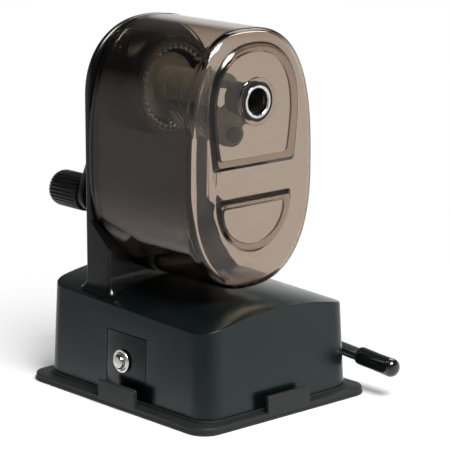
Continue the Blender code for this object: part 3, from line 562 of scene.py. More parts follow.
def pad_sheet():
    """The domed sheet, stepped in ridges, with a flat boss in its middle."""
    rise = SHEET_HIGH.z - SHEET_LOW.z - SHEET_T
    stations = ((0.0, 0.0), (0.0024, 0.05), (0.0050, 0.22), (0.0064, 0.26), (0.0092, 0.60), (0.0106, 0.64),
                (0.0134, 0.90), (0.0150, 0.92), (0.0176, 1.0))
    under = [sheet_ring(inset, SHEET_LOW.z + rise * climb) for inset, climb in reversed(stations)]
    over = [sheet_ring(inset, SHEET_LOW.z + SHEET_T + rise * climb) for inset, climb in stations]
    return lofted(under + over)


rubber = rubber_material("pad_rubber_finish", (0.0085, 0.0100, 0.0100))
finished("rubber_flange", pad_flange(), rubber, "stand", ["pad_rim"])
sheet = finished("rubber_sheet", pad_sheet(), rubber, "stand", ["pad_diaphragm"])
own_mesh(sheet)

# ---- Upright ----------------------------------------------------------------------------------
# One charcoal moulding: a neck with a flared foot, an arched back plate, a spigot that the
# receptacle pushes onto, a drum that holds the ring gear, and a rear boss for the crank's bearing.

COLUMN_HALF_W = 0.0333
COLUMN_FRONT = 0.0152
COLUMN_BACK = 0.0302
COLUMN_ARCH_Z = 0.1190
COLUMN_TOP_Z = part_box("column")[1].z
COLUMN_ARCH_POWER = 2.21
COLUMN_FOOT = 0.0360
PLATE_EDGE = 0.0014
NECK_TOP_Z = 0.0592
NECK_SLOPE = 0.0115
NECK_ROUND = 0.0010
SPIGOT_FRONT = 0.0235
ROOT_SPREAD = 0.0042
ROOT_FRONT_H = 0.0085
ROOT_BACK_H = 0.0045
DRUM_R = 0.0206
DRUM_FRONT = 0.0110
DRUM_L = 0.0126
REAR_BOSS_R = 0.0118
REAR_BOSS_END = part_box("column")[1].y - BASE_Y
BEARING_BORE_R = 0.0052
DISC_BORE_R = 0.0166
DISC_ROOM = 0.0018
BORE_L = 0.0300
gear_low, gear_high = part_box("ring_gear")
AXIS_Z = (gear_low.z + gear_high.z) / 2
GEAR_OUTER_R = (gear_high.z - gear_low.z) / 2
GEAR_FRONT = gear_low.y - BASE_Y
GEAR_BACK = gear_high.y - BASE_Y
DISC_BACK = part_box("carrier_cradle")[1].y - BASE_Y
CUP_HALF_W = 0.0337
CUP_MID_Z = 0.0936
CUP_UP = 0.0564
CUP_DOWN = 0.0470
CUP_UP_POWER = 2.72
CUP_DOWN_POWER = 2.42
CUP_WALL = 0.0020
CUP_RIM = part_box("receptacle")[1].y - BASE_Y


def superellipse(half_w, up, down, up_power, down_power, middle_z, count):
    """An oval whose upper and lower halves have their own reach and fullness."""
    points = []
    for step in range(count):
        angle = 2 * math.pi * step / count
        across, rise = math.cos(angle), math.sin(angle)
        power, reach = (up_power, up) if rise > 0 else (down_power, down)
        points.append((half_w * math.copysign(abs(across) ** (2 / power), across),
                       middle_z + reach * math.copysign(abs(rise) ** (2 / power), rise)))
    return points


def cup_oval(inset=0.0, count=176):
    """The receptacle's outline, moved inwards by inset."""
    return superellipse(CUP_HALF_W - inset, CUP_UP - inset, CUP_DOWN - inset, CUP_UP_POWER, CUP_DOWN_POWER,
                        CUP_MID_Z, count)


def arched_outline(inset, foot, count=64):
    """The back plate's outline: upright sides under a rounded top."""
    points = [(COLUMN_HALF_W - inset, foot)]
    for step in range(count + 1):
        angle = math.pi * step / count
        across, rise = math.cos(angle), max(math.sin(angle), 0.0)
        bow = 2 / COLUMN_ARCH_POWER
        points.append(((COLUMN_HALF_W - inset) * math.copysign(abs(across) ** bow, across),
                       COLUMN_ARCH_Z + (COLUMN_TOP_Z - COLUMN_ARCH_Z - inset) * rise ** bow))
    points.append((-COLUMN_HALF_W + inset, foot))
    return points


def root_flare(steps=12, corner_steps=6):
    """The concave flare round the neck's foot, taller at the front than at the back."""
    outlines = []
    for step in range(steps + 1):
        turn = math.pi / 2 * step / steps
        spread = NECK_ROUND + ROOT_SPREAD * (1 - math.sin(turn)) - 0.00005
        outline = []
        back, front = COLUMN_BACK - NECK_ROUND, COLUMN_FRONT + NECK_ROUND
        for corner, (side, y_end) in enumerate(((1, back), (-1, back), (-1, front), (1, front))):
            for stop in range(corner_steps + 1):
                angle = math.pi / 2 * (corner + stop / corner_steps)
                x = side * (COLUMN_HALF_W - NECK_ROUND) + spread * math.cos(angle)
                y = y_end + spread * math.sin(angle)
                front_share = min(max((COLUMN_BACK - y) / (COLUMN_BACK - COLUMN_FRONT), 0.0), 1.0)
                tall = ROOT_BACK_H + (ROOT_FRONT_H - ROOT_BACK_H) * front_share
                outline.append((x, y, housing_top(x, y) - 0.0003 + tall * (1 - math.cos(turn))))
        outlines.append(outline)
    outlines.insert(0, [(x, y, 0.0365) for x, y, _ in outlines[0]])
    return lofted(outlines)


def upright():
    """The whole moulding."""
    turns = [math.pi / 2 * step / 4 for step in range(5)]
    stations = [(CUP_RIM + SEAM, 0.0003), (CUP_RIM + 2 * SEAM, 0.0)]
    stations += [(COLUMN_BACK - PLATE_EDGE * (1 - math.sin(turn)), PLATE_EDGE * (1 - math.cos(turn)))
                 for turn in turns]
    bm = lofted([[(x, y, z) for x, z in arched_outline(inset, COLUMN_FOOT)] for y, inset in stations])

    neck = block((-COLUMN_HALF_W, COLUMN_FRONT, COLUMN_FOOT), (COLUMN_HALF_W, CUP_RIM + 0.002, NECK_TOP_Z))
    for vert in neck.verts:
        if vert.co.z > NECK_TOP_Z - 1e-5 and vert.co.y > COLUMN_FRONT + 1e-5:
            vert.co.z += NECK_SLOPE
    front_corners = [e for e in neck.edges if all(v.co.y < COLUMN_FRONT + 1e-5 for v in e.verts)
                     and abs(e.verts[0].co.z - e.verts[1].co.z) > 0.001]
    rounded(neck, front_corners, NECK_ROUND, 4)
    neck = carved(neck, root_flare(), 'UNION')
    neck = carved(neck, pushed(cup_oval(-0.0005), COLUMN_FRONT - 0.01, CUP_RIM + SEAM))
    bm = carved(bm, neck, 'UNION')
    spigot = [(SPIGOT_FRONT, 0.0005), (SPIGOT_FRONT + 0.0003, 0.0001), (SPIGOT_FRONT + 0.0006, 0.0),
              (CUP_RIM + 0.001, 0.0)]
    bm = carved(bm, lofted([[(x, y, z) for x, z in cup_oval(CUP_WALL + 0.0004 + inset)]
                            for y, inset in spigot]), 'UNION')
    drum = [(0, 0), (DRUM_R, 0), (DRUM_R, DRUM_L - 0.0007), (DRUM_R - 0.0002, DRUM_L - 0.0002),
            (DRUM_R - 0.0006, DRUM_L), (0, DRUM_L)]
    bm = carved(bm, spun(drum, (0, DRUM_FRONT + DRUM_L, AXIS_Z), (0, -1, 0), 96), 'UNION')
    boss_l = REAR_BOSS_END - COLUMN_BACK + 0.001
    boss = [(0, 0), (REAR_BOSS_R + 0.0016, 0), (REAR_BOSS_R + 0.0006, 0.0014),
            (REAR_BOSS_R + 0.0004, boss_l - 0.0006), (REAR_BOSS_R, boss_l - 0.0001),
            (REAR_BOSS_R - 0.0006, boss_l), (0, boss_l)]
    bm = carved(bm, spun(boss, (0, COLUMN_BACK - 0.001, AXIS_Z), (0, 1, 0), 96), 'UNION')
    bore_front = DRUM_FRONT - 0.002
    gear_seat, disc_seat = GEAR_BACK + SEAM - bore_front, DISC_BACK + DISC_ROOM - bore_front
    bore = [(0, 0), (GEAR_OUTER_R + SEAM, 0), (GEAR_OUTER_R + SEAM, gear_seat), (DISC_BORE_R, gear_seat),
            (DISC_BORE_R, disc_seat), (BEARING_BORE_R, disc_seat), (BEARING_BORE_R, BORE_L), (0, BORE_L)]
    bm = carved(bm, spun(bore, (0, bore_front, AXIS_Z), (0, 1, 0), 96))
    return carved(bm, housing_form(SEAM, HOUSING_FOOT))


grey_charcoal = moulded("upright_plastic", (0.0030, 0.0036, 0.0036), 0.20, cloud=0.2)
finished("upright", upright(), grey_charcoal, "stand", ["column"], angle=30)

# ---- Hidden steel -----------------------------------------------------------------------------
# Two zinc-plated screws come up through the housing's roof into the upright. The steel plate and
# the shaft are plain too, so the solids stay as they are and only take their metal.


def metal(name, colour, roughness, stretch=(1, 1, 1), scale=900.0, dark=0.75):
    """Plated or ground steel: fine tool lines, soft stains, and small bright rubs."""
    nodes = Nodes(bpy.data.materials.new(name))
    lines = nodes.noise(scale, 2.0, stretch)
    stain = nodes.noise(160.0, 4.0, roughness=0.6)
    tone = nodes.mix(stain * 0.6 + lines * 0.4, shade(colour, dark), shade(colour, 1.08))
    return nodes.coated({
        "Base Color": tone, "Metallic": 1.0,
        "Roughness": roughness + (lines - 0.5) * 0.10 + (stain - 0.5) * 0.08,
        "Normal": nodes.bump(lines, 0.000004)})


def refinished(node, material):
    """Give a solid that stays as it is its real finish."""
    solid = frame["nodes"][node]
    if not solid.material_slots:
        solid.data.materials.append(material)
    for holder in solid.material_slots:
        holder.material = material


zinc = metal("zinc_plate", (0.62, 0.63, 0.62), 0.30)
for node in ("column_screw_left", "column_screw_right", "crank_shaft", "lift_plate"):
    refinished(node, zinc)

# ---- Receptacle -------------------------------------------------------------------------------
# Clear smoke-brown cup, moulded in one with two raised panels on its face and a boss round the
# pencil hole. It is polished inside and out, and slides forwards off the upright's spigot.

CUP_FRONT = -0.0336
CUP_ROUND = 0.0046
INNER_ROUND = 0.0020
BEAD_L = 0.0030
BEAD_OUT = 0.0002
PANEL_RISE = 0.0016
PANEL_SLOPE = 0.0025
POCKET_INSET = 0.0040
# Heights where the painted shade band on the panels' sloping edges thins out and where it ends.
SHADE_BAND_THINS_Z = 0.1360
SHADE_BAND_ENDS_Z = 0.0660
guide_low, guide_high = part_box("guide_sleeve")
GUIDE_FRONT = guide_low.y - BASE_Y
GUIDE_BACK = guide_high.y - BASE_Y
GUIDE_R = (guide_high.z - guide_low.z) / 2
BOSS_TIP = GUIDE_FRONT + 0.0001
BOSS_ROOT_R = 0.0112
BOSS_TIP_R = 0.0092


def upper_panel(inset, steps=22):
    """Outline of the big panel: a flat foot, sides that spread a little, and an arched top."""
    foot_z, wide_z, half_w, foot_half_w, rise = 0.0958, 0.1180, 0.0239, 0.0219, 0.0273
    corner = 0.0016
    points = []
    for step in range(steps + 1):
        angle = math.pi * step / steps
        across, up = math.cos(angle), max(math.sin(angle), 0.0)
        points.append(((half_w - inset) * math.copysign(abs(across) ** 0.87, across),
                       wide_z + (rise - inset) * up ** 0.87))
    left = []
    for step in range(1, 9):
        share = step / 9
        x = half_w - (half_w - foot_half_w) * share ** 1.5
        left.append((-(x - inset), wide_z - (wide_z - foot_z - corner - inset) * share))
    for step in range(5):
        angle = math.pi / 2 * step / 4
        left.append((-(foot_half_w - inset - corner + corner * math.cos(angle)),
                     foot_z + inset + corner - corner * math.sin(angle)))
    return points + left + [(-x, z) for x, z in reversed(left)]


def lower_panel(inset, steps=30):
    """Outline of the small panel: a flat top over a half ellipse."""
    top_z, half_w, drop = 0.0852, 0.0202, 0.0238
    corner = 0.0012
    points = []
    for step in range(steps + 1):
        angle = math.pi + math.pi * step / steps
        points.append(((half_w - inset) * math.cos(angle),
                       top_z - corner - inset + (drop - corner - 2 * inset) * math.sin(angle)))
    for side in (1, -1):
        arc = [math.pi / 2 * step / 4 for step in range(1, 5)]
        for angle in (arc if side > 0 else arc[::-1]):
            points.append((side * (half_w - inset - corner + corner * math.cos(angle)),
                           top_z - corner - inset + corner * math.sin(angle)))
    return points


def raised(outline, face, rise, slope, depth=0.0006, inset=0.0, steps=9):
    """A panel whose edges rise in an S curve from a flat face, closed below the face."""
    stations = [(face + depth, inset)]
    for step in range(steps):
        share = step / (steps - 1)
        stations.append((face + 0.00003 - (rise + 0.00003) * share * share * (3 - 2 * share),
                         inset + slope * share))
    return lofted([[(x, y, z) for x, z in outline(place)] for y, place in stations])


def cup_form(inset, front, radius, rim):
    """The cup's plain outside or inside as a closed solid, with rim stations of its own."""
    stations = list(rim) + [(front + radius + 0.0006, inset)]
    for step in range(11):
        angle = math.pi / 2 * step / 10
        stations.append((front + radius * (1 - math.sin(angle)), inset + radius * (1 - math.cos(angle))))
    return lofted([[(x, y, z) for x, z in cup_oval(place)] for y, place in stations])


def receptacle():
    """The cup, with even walls except under the panels' sloping edges."""
    rim = [(CUP_RIM, BEAD_OUT + 0.0001), (CUP_RIM - 0.0001, BEAD_OUT * 0.4), (CUP_RIM - 0.0003, 0.0),
           (CUP_RIM - BEAD_L + 0.0003, 0.0), (CUP_RIM - BEAD_L, BEAD_OUT * 0.5),
           (CUP_RIM - BEAD_L - 0.0002, BEAD_OUT), (CUP_RIM - BEAD_L - 0.0008, BEAD_OUT)]
    bm = cup_form(BEAD_OUT, CUP_FRONT, CUP_ROUND, rim)
    for outline in (upper_panel, lower_panel):
        bm = carved(bm, raised(outline, CUP_FRONT, PANEL_RISE, PANEL_SLOPE), 'UNION')
    length = CUP_FRONT - BOSS_TIP + 0.0016
    boss = [(0, 0), (BOSS_ROOT_R + 0.0014, 0), (BOSS_ROOT_R + 0.0010, 0.0016 + PANEL_RISE - 0.0001),
            (BOSS_ROOT_R, 0.0016 + PANEL_RISE + 0.0001), (BOSS_TIP_R + 0.0004, length - 0.0003),
            (BOSS_TIP_R, length), (0, length)]
    bm = carved(bm, spun(boss, (0, CUP_FRONT + 0.0016, AXIS_Z), (0, -1, 0), 96), 'UNION')
    inner_front = CUP_FRONT + CUP_WALL
    hollow = cup_form(CUP_WALL, inner_front, INNER_ROUND,
                      [(CUP_RIM + 0.001, CUP_WALL - 0.0005), (CUP_RIM, CUP_WALL - 0.0004),
                       (CUP_RIM - 0.0006, CUP_WALL), (CUP_RIM - 0.0014, CUP_WALL)])
    bm = carved(bm, hollow)
    for outline in (upper_panel, lower_panel):
        bm = carved(bm, raised(outline, inner_front, PANEL_RISE, 0.0004, inset=POCKET_INSET, steps=5))
    way = plug(GUIDE_R + 0.0003, (0, CUP_FRONT + 0.01, AXIS_Z), (0, -1, 0), 0.02, 96)
    return carved(bm, way)


def smoke_plastic():
    """Smoke-brown clear plastic with faint flow waves and fine rubs, with painted shade as dark bands on the
    panels' sloping edges.
    """
    material = bpy.data.materials.new("smoke_clear_plastic")
    nodes = Nodes(material)
    waves = nodes.noise(26.0, 2.0)
    rubs = nodes.ramp(nodes.noise(300.0, 6.0, (1, 1, 3), 0.7), (0.56, 0.0), (0.74, 1.0))
    gloss = 0.015 + rubs * 0.06
    skin = nodes.bump(waves, 0.00006, 0.5)
    clear = nodes.add("ShaderNodeBsdfPrincipled", None, {
        "Base Color": (1.0, 1.0, 1.0, 1.0), "Roughness": gloss, "IOR": 1.49, "Transmission Weight": 1.0,
        "Normal": skin})
    # Painted shade: this near-black coat, mixed over the clear plastic on the panels' sloping edges, paints
    # in the dark bands that light bent inside the clear wall makes there.
    line = nodes.add("ShaderNodeBsdfPrincipled", None, {
        "Base Color": (0.006, 0.007, 0.007, 1.0), "Roughness": gloss + 0.10, "IOR": 1.49, "Normal": skin})
    up_slope = (BASE_Y + CUP_FRONT - nodes.along("Y")) / PANEL_RISE
    on_slope = nodes.ramp(up_slope, (0.03, 0.0), (0.07, 1.0), (0.90, 1.0), (0.97, 0.0))
    near_foot = nodes.ramp(up_slope, (0.30, 1.0), (0.55, 0.35))
    top_share = nodes.ramp((nodes.along("Z") - SHADE_BAND_THINS_Z) / 0.0080, (0.0, 0.0), (1.0, 1.0))
    foot_fade = nodes.ramp((nodes.along("Z") - SHADE_BAND_ENDS_Z) / 0.0040, (0.0, 0.0), (1.0, 1.0))
    # How much painted shade covers each point: full on the slopes, kept only on their lower part high up on
    # the cup, and fading out near its foot.
    dark = on_slope * foot_fade * (1.0 - top_share * (1.0 - near_foot))
    surface = nodes.add("ShaderNodeMixShader", None, {0: dark * 0.93, 1: clear, 2: line})
    smoke = nodes.add("ShaderNodeVolumeAbsorption", None,
                      {"Color": (0.50, 0.32, 0.14, 1.0), "Density": 330.0})
    nodes.add("ShaderNodeOutputMaterial", None, {"Surface": surface, "Volume": smoke})
    return material


smoke = smoke_plastic()
finished("smoke_receptacle", receptacle(), smoke, "cup", ["receptacle"], angle=32)

# ---- Pencil guide -----------------------------------------------------------------------------
# A black sleeve is pushed into the receptacle's hole, and a bright turned steel ring sits in its
# mouth, where pencils would wear the plastic.

lip_low, lip_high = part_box("guide_lip")
LIP_R = (lip_high.z - lip_low.z) / 2
BORE_R = 0.0052


def guide_sleeve():
    """The sleeve, seen from its front end: a seat for the ring, and a slimmer tail inside the cup."""
    length = GUIDE_BACK - GUIDE_FRONT
    seat = 0.0026
    step = 0.0058
    profile = [(LIP_R + 0.0003, 0.0), (GUIDE_R - 0.0005, 0.0), (GUIDE_R - 0.0001, 0.0002), (GUIDE_R, 0.0006),
               (GUIDE_R, step - 0.0003), (GUIDE_R - 0.0003, step), (BORE_R + 0.0008, step),
               (BORE_R + 0.0008, length - 0.0002), (BORE_R + 0.0006, length), (BORE_R - 0.0002, length),
               (BORE_R - 0.0002, seat), (LIP_R + 0.0003, seat)]
    return spun(profile, (0, GUIDE_FRONT, AXIS_Z), (0, 1, 0), 96)


def guide_ring():
    """The ring, with a rolled mouth."""
    front = lip_low.y - BASE_Y
    length = lip_high.y - lip_low.y
    profile = [(BORE_R, length)]
    profile += [(BORE_R + 0.0007 * (1 - math.cos(a)), 0.0007 * (1 - math.sin(a)))
                for a in (0.0, 0.4, 0.8, 1.2, math.pi / 2)]
    profile += [(LIP_R - 0.0004 + 0.0004 * math.sin(a), 0.0004 * (1 - math.cos(a)))
                for a in (0.0, 0.5, 1.0, math.pi / 2)]
    profile.append((LIP_R, length))
    return spun(profile, (0, front, AXIS_Z), (0, 1, 0), 96)


black_plastic = moulded("black_plastic_finish", (0.0060, 0.0062, 0.0066), 0.33, grain_scale=3200.0)
bright_steel = metal("turned_bright_steel", (0.80, 0.80, 0.79), 0.16, (1, 8, 1), 1500.0, 0.88)
finished("guide_tube", guide_sleeve(), black_plastic, "cup", ["guide_sleeve"])
finished("guide_ring", guide_ring(), bright_steel, "cup", ["guide_lip"])

# ---- Ring gear --------------------------------------------------------------------------------
# A pale grey moulded ring with 36 inward teeth is pressed into the upright's drum and stays still.
# The cutter's own small gear rolls round inside it.

TOOTH_SIZE = 0.0009
RING_TEETH = 36
ROLLER_TEETH = 18
CARRIER_TURN = math.radians(15)
RING_PITCH_R = TOOTH_SIZE * RING_TEETH / 2


def teeth_outline(teeth, root, tip, phase, root_share, tip_share):
    """A gear's outline about its own middle, with a tooth centred on phase and eased flanks."""
    points = []
    pitch = 2 * math.pi / teeth
    mid_share = (root_share * 0.45 + tip_share * 0.275)
    middle_r = (root + tip) / 2
    for tooth in range(teeth):
        middle = phase + tooth * pitch
        for share, radius in ((-root_share, root), (-mid_share, middle_r), (-tip_share / 2, tip), (0.0, tip),
                              (tip_share / 2, tip), (mid_share, middle_r), (root_share, root)):
            angle = middle + share * pitch
            points.append((radius * math.sin(angle), -radius * math.cos(angle)))
    return points


def inside_gear():
    """The ring, with the spaces between its teeth cut through."""
    edge = 0.0002
    bm = spun([(0, 0), (GEAR_OUTER_R - edge, 0), (GEAR_OUTER_R, edge), (GEAR_OUTER_R, GEAR_BACK - GEAR_FRONT),
               (0, GEAR_BACK - GEAR_FRONT)], (0, GEAR_FRONT, AXIS_Z), (0, 1, 0), 108)
    spaces = teeth_outline(RING_TEETH, RING_PITCH_R - 0.8 * TOOTH_SIZE, RING_PITCH_R + 1.25 * TOOTH_SIZE,
                           CARRIER_TURN, 0.34, 0.34)
    return carved(bm, pushed([(x, AXIS_Z + z) for x, z in spaces], GEAR_FRONT - 0.002, GEAR_BACK + 0.002))


def gear_plastic():
    """Pale nylon that stays clean on the teeth and is grey with graphite dust further out."""
    nodes = Nodes(bpy.data.materials.new("pale_gear_plastic"))
    across = nodes.along("X") - BASE_X
    rise = nodes.along("Z") - AXIS_Z
    radius = (across * across + rise * rise) ** 0.5
    outside = nodes.ramp(radius / GEAR_OUTER_R, (0.86, 0.0), (0.91, 1.0))
    dust = outside * (0.80 + 0.2 * nodes.noise(420.0, 4.0))
    pale = nodes.mix(nodes.noise(60.0, 3.0), (0.34, 0.35, 0.33, 1.0), (0.44, 0.45, 0.42, 1.0))
    grain = nodes.noise(2400.0, 2.0)
    return nodes.coated({
        "Base Color": nodes.mix(dust, pale, (0.035, 0.036, 0.036, 1.0)), "Roughness": 0.38 + 0.1 * grain,
        "IOR": 1.5, "Normal": nodes.bump(grain, GRAIN_DEPTH)})


gear_grey = gear_plastic()
finished("inside_gear", inside_gear(), gear_grey, "stand", ["ring_gear"], angle=30)

# ---- Cutter -----------------------------------------------------------------------------------
# One tilted milling cutter of hardened steel with ground, twisted teeth. A toothed end behind it
# rolls in the ring gear, and the whole turns on a steel pin.

joint = {j["name"]: j for j in frame["joints"]}
CUTTER_AXIS = Vector(joint["cutter_spin"]["axis"]).normalized()
CUTTER_BACK = Vector(joint["cutter_spin"]["pos_m"]) - Vector((BASE_X, BASE_Y, 0))
CUTTER_TEETH = 18
CUTTER_R = 0.0077
CUTTER_L = 0.0172
CUTTER_TURN = math.radians(75)
ROLLER_T = 0.0017
PIN_BORE_R = 0.0019
ROLLER_PITCH_R = TOOTH_SIZE * ROLLER_TEETH / 2
cutter_turn = CUTTER_AXIS.to_track_quat('Z', 'X').to_matrix()


def on_pin(y):
    """The point of the cutter's pin at a given place along Y."""
    return CUTTER_BACK + CUTTER_AXIS * ((y - CUTTER_BACK.y) / CUTTER_AXIS.y)


def on_cutter_axis(bm):
    """Move a piece drawn about Z onto the tilted axis."""
    bmesh.ops.transform(bm, matrix=Matrix.Translation(CUTTER_BACK) @ cutter_turn.to_4x4(), verts=bm.verts)
    return bm


def milling_cutter(rings=25):
    """The toothed body: each tooth has a ground face and a relieved back."""
    outlines = []
    for step in range(rings):
        share = step / (rings - 1)
        z = -ROLLER_T / 2 - 0.0003 - CUTTER_L * (1 - share)
        ease = 0.0003 if step in (0, rings - 1) else 0.0
        ring = []
        pitch = 2 * math.pi / CUTTER_TEETH
        for tooth in range(CUTTER_TEETH):
            for part, depth in ((0.0, 0.0), (0.10, 0.00004), (0.34, 0.00030), (0.62, 0.00085),
                                (0.80, 0.00110), (0.92, 0.00085)):
                angle = CUTTER_TURN * share + (tooth + part) * pitch
                radius = CUTTER_R - depth - ease
                ring.append((radius * math.sin(angle), -radius * math.cos(angle), z))
        outlines.append(ring)
    bm = on_cutter_axis(lofted(outlines))
    return carved(bm, plug(PIN_BORE_R, on_pin(-0.030), CUTTER_AXIS, 0.060))


def toothed_end():
    """The small gear at the cutter's back."""
    turned = cutter_turn.transposed() @ Vector((math.sin(CARRIER_TURN), 0, -math.cos(CARRIER_TURN)))
    outline = teeth_outline(ROLLER_TEETH, ROLLER_PITCH_R - 1.25 * TOOTH_SIZE,
                            ROLLER_PITCH_R + 0.8 * TOOTH_SIZE, math.atan2(turned.x, -turned.y), 0.26, 0.22)
    bm = on_cutter_axis(lofted([[(x, y, z) for x, y in outline] for z in (-ROLLER_T / 2, ROLLER_T / 2)]))
    return carved(bm, plug(PIN_BORE_R, on_pin(-0.030), CUTTER_AXIS, 0.060))


def tool_steel():
    """Hardened steel: oily dark in the flutes, bright where the teeth were ground."""
    nodes = Nodes(bpy.data.materials.new("ground_tool_steel"))
    spot = nodes.add("ShaderNodeVectorMath", {"operation": "SUBTRACT"},
                     {0: nodes.place(), 1: tuple(CUTTER_BACK + Vector((BASE_X, BASE_Y, 0)))})
    aside = nodes.add("ShaderNodeVectorMath", {"operation": "CROSS_PRODUCT"},
                      {0: spot, 1: tuple(CUTTER_AXIS)})
    radius = nodes.add("ShaderNodeVectorMath", {"operation": "LENGTH"}, {0: aside}, 1)
    ground = nodes.ramp((radius - (CUTTER_R - 0.0006)) / 0.0006, (0.0, 0.0), (1.0, 1.0))
    lines = nodes.noise(1800.0, 2.0, (1, 6, 1))
    film = nodes.noise(240.0, 4.0, roughness=0.65)
    dull = nodes.mix(film, (0.10, 0.095, 0.085, 1.0), (0.20, 0.19, 0.17, 1.0))
    tone = nodes.mix(ground, dull, (0.62, 0.60, 0.56, 1.0))
    return nodes.coated({
        "Base Color": tone, "Metallic": 1.0, "Roughness": 0.42 - ground * 0.18 + (lines - 0.5) * 0.12,
        "Normal": nodes.bump(lines, 0.000006)})


tool_steel_finish = tool_steel()
finished("milling_roller", milling_cutter(), tool_steel_finish, "milling_cutter", ["cutter"],
         angle=28)
finished("roller_gear", toothed_end(), tool_steel_finish, "milling_cutter", ["cutter_pinion"],
         angle=30)

# ---- Carrier ----------------------------------------------------------------------------------
# A frame of translucent grey plastic turns with the crank: a disc behind, a half tube over the
# pencil, and a plate in front. The cutter's pin runs between plate and disc under a black cap.

CRADLE_R = 0.0086
CRADLE_WALL = 0.0017
PLATE_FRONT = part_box("carrier_plate")[0].y - BASE_Y
PLATE_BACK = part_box("carrier_plate")[1].y - BASE_Y
DISC_T = 0.0030
DISC_R = (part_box("carrier_cradle")[1].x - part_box("carrier_cradle")[0].x) / 2


def half_tube(radius, wall, half_sweep, front, back, count=40):
    """A tube open on the cutter's side, drawn along Y."""
    outline = []
    for size, order in ((radius, range(count + 1)), (radius - wall, reversed(range(count + 1)))):
        for step in order:
            angle = CARRIER_TURN - half_sweep + 2 * half_sweep * step / count
            outline.append((-size * math.sin(angle), AXIS_Z + size * math.cos(angle)))
    return pushed(outline, front, back)


def carrier_frame():
    """Disc and half tube in one, with a thicker collar at the tube's front and two ribs."""
    edge = 0.0004
    disc = spun([(0, 0), (DISC_R - edge, 0), (DISC_R, edge), (DISC_R, DISC_T - edge), (DISC_R - edge, DISC_T),
                 (0, DISC_T)], (0, DISC_BACK - DISC_T, AXIS_Z), (0, 1, 0), 80)
    sweep = math.radians(100)
    tube = half_tube(CRADLE_R - 0.0002, CRADLE_WALL - 0.0002, sweep, PLATE_BACK + 0.0003,
                     DISC_BACK - DISC_T + 0.001)
    bm = carved(disc, softened(tube, 0.0002, 2), 'UNION')
    for start, length in ((PLATE_BACK + 0.0003, 0.0030), (-0.0015, 0.0012), (0.0080, 0.0012)):
        rib = half_tube(CRADLE_R, CRADLE_WALL, sweep - 0.02, start, start + length)
        bm = carved(bm, softened(rib, 0.00012, 2), 'UNION')
    return carved(bm, plug(PIN_BORE_R, on_pin(0.0120), CUTTER_AXIS, 0.012))


def round_ended(axis_r, end_r, reach, turn, steps=32):
    """Outline of a bar that hangs from the crank's axis, turned by some angle."""
    outline = []
    for middle, radius, start in ((0.0, axis_r, 0.0), (reach, end_r, math.pi)):
        for step in range(steps + 1):
            angle = start + math.pi * step / steps
            across, up = radius * math.cos(angle), radius * math.sin(angle) - middle
            outline.append((across * math.cos(turn) - up * math.sin(turn),
                            AXIS_Z + across * math.sin(turn) + up * math.cos(turn)))
    return outline


def carrier_plate():
    """Flat plate with round ends: a hole for the pencil at one end, the pin at the other."""
    low_end = on_pin(PLATE_FRONT)
    outline = round_ended(0.0083, 0.0052, math.hypot(low_end.x, low_end.z - AXIS_Z), CARRIER_TURN)
    bm = softened(pushed(outline, PLATE_FRONT, PLATE_BACK), 0.0004, 3)
    bm = carved(bm, plug(0.0056, (0, PLATE_FRONT - 0.01, AXIS_Z), (0, 1, 0), 0.03, 72))
    return carved(bm, plug(PIN_BORE_R, on_pin(PLATE_FRONT - 0.004), CUTTER_AXIS, 0.010))


def pin_cap():
    """Domed black cap over the pin's front end."""
    cap_low, cap_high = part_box("pin_cap")
    radius = (cap_high.x - cap_low.x) / 2
    height = cap_high.y - cap_low.y
    profile = [(0, 0), (radius - 0.0001, 0), (radius, 0.0001)]
    profile += [(radius * math.cos(a), height * (0.25 + 0.75 * math.sin(a)))
                for a in (0.15, 0.4, 0.7, 1.0, 1.3)]
    profile.append((0, height))
    place = ((cap_low.x + cap_high.x) / 2 - BASE_X, cap_high.y - BASE_Y, (cap_low.z + cap_high.z) / 2)
    return spun(profile, place, (0, -1, 0), 48)


def frosted_plastic():
    """Grey plastic that lets a little light through, dusted with graphite from the pencils."""
    nodes = Nodes(bpy.data.materials.new("frosted_grey_plastic"))
    cloud = nodes.noise(120.0, 4.0, roughness=0.6)
    graphite = nodes.ramp(nodes.noise(420.0, 5.0, roughness=0.7), (0.50, 0.0), (0.72, 1.0))
    clean = nodes.mix(cloud, (0.25, 0.25, 0.22, 1.0), (0.40, 0.40, 0.36, 1.0))
    tone = nodes.mix(graphite * 0.45, clean, (0.09, 0.09, 0.09, 1.0))
    return nodes.coated({
        "Base Color": tone, "Roughness": 0.36 + cloud * 0.12 + graphite * 0.10, "IOR": 1.5,
        "Transmission Weight": 0.35, "Normal": nodes.bump(graphite, 0.00002)})


frosted = frosted_plastic()
finished("carrier_frame", carrier_frame(), frosted, "crank", ["carrier_cradle"])
finished("carrier_front_plate", carrier_plate(), frosted, "crank", ["carrier_plate"])
finished("pin_head", pin_cap(), black_plastic, "crank", ["pin_cap"])
refinished("cutter_pin", bright_steel)

# ---- Crank ------------------------------------------------------------------------------------
# A black moulded arm is clamped on the steel shaft by a nut, and a ribbed knob turns freely on a
# rivet through the arm's other end. The shaft runs in a flanged black bearing.

SHAFT_R = 0.0030
ARM_ANGLE = math.radians(22.5)
ARM_FRONT = 0.0417
ARM_BACK = 0.0452
ARM_AXIS_R = 0.0071
ARM_END_R = 0.0066
ARM_EDGE = 0.0022
HUB_R = 0.0083
KNOB_RIBS = 30
RIVET_R = 0.0020
BUSH_R = 0.0049
knob_low, knob_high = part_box("crank_knob")
KNOB_R = (knob_high.z - knob_low.z) / 2
KNOB_X = (knob_low.x + knob_high.x) / 2 - BASE_X
KNOB_Z = (knob_low.z + knob_high.z) / 2
KNOB_FRONT = knob_low.y - BASE_Y
KNOB_L = knob_high.y - knob_low.y


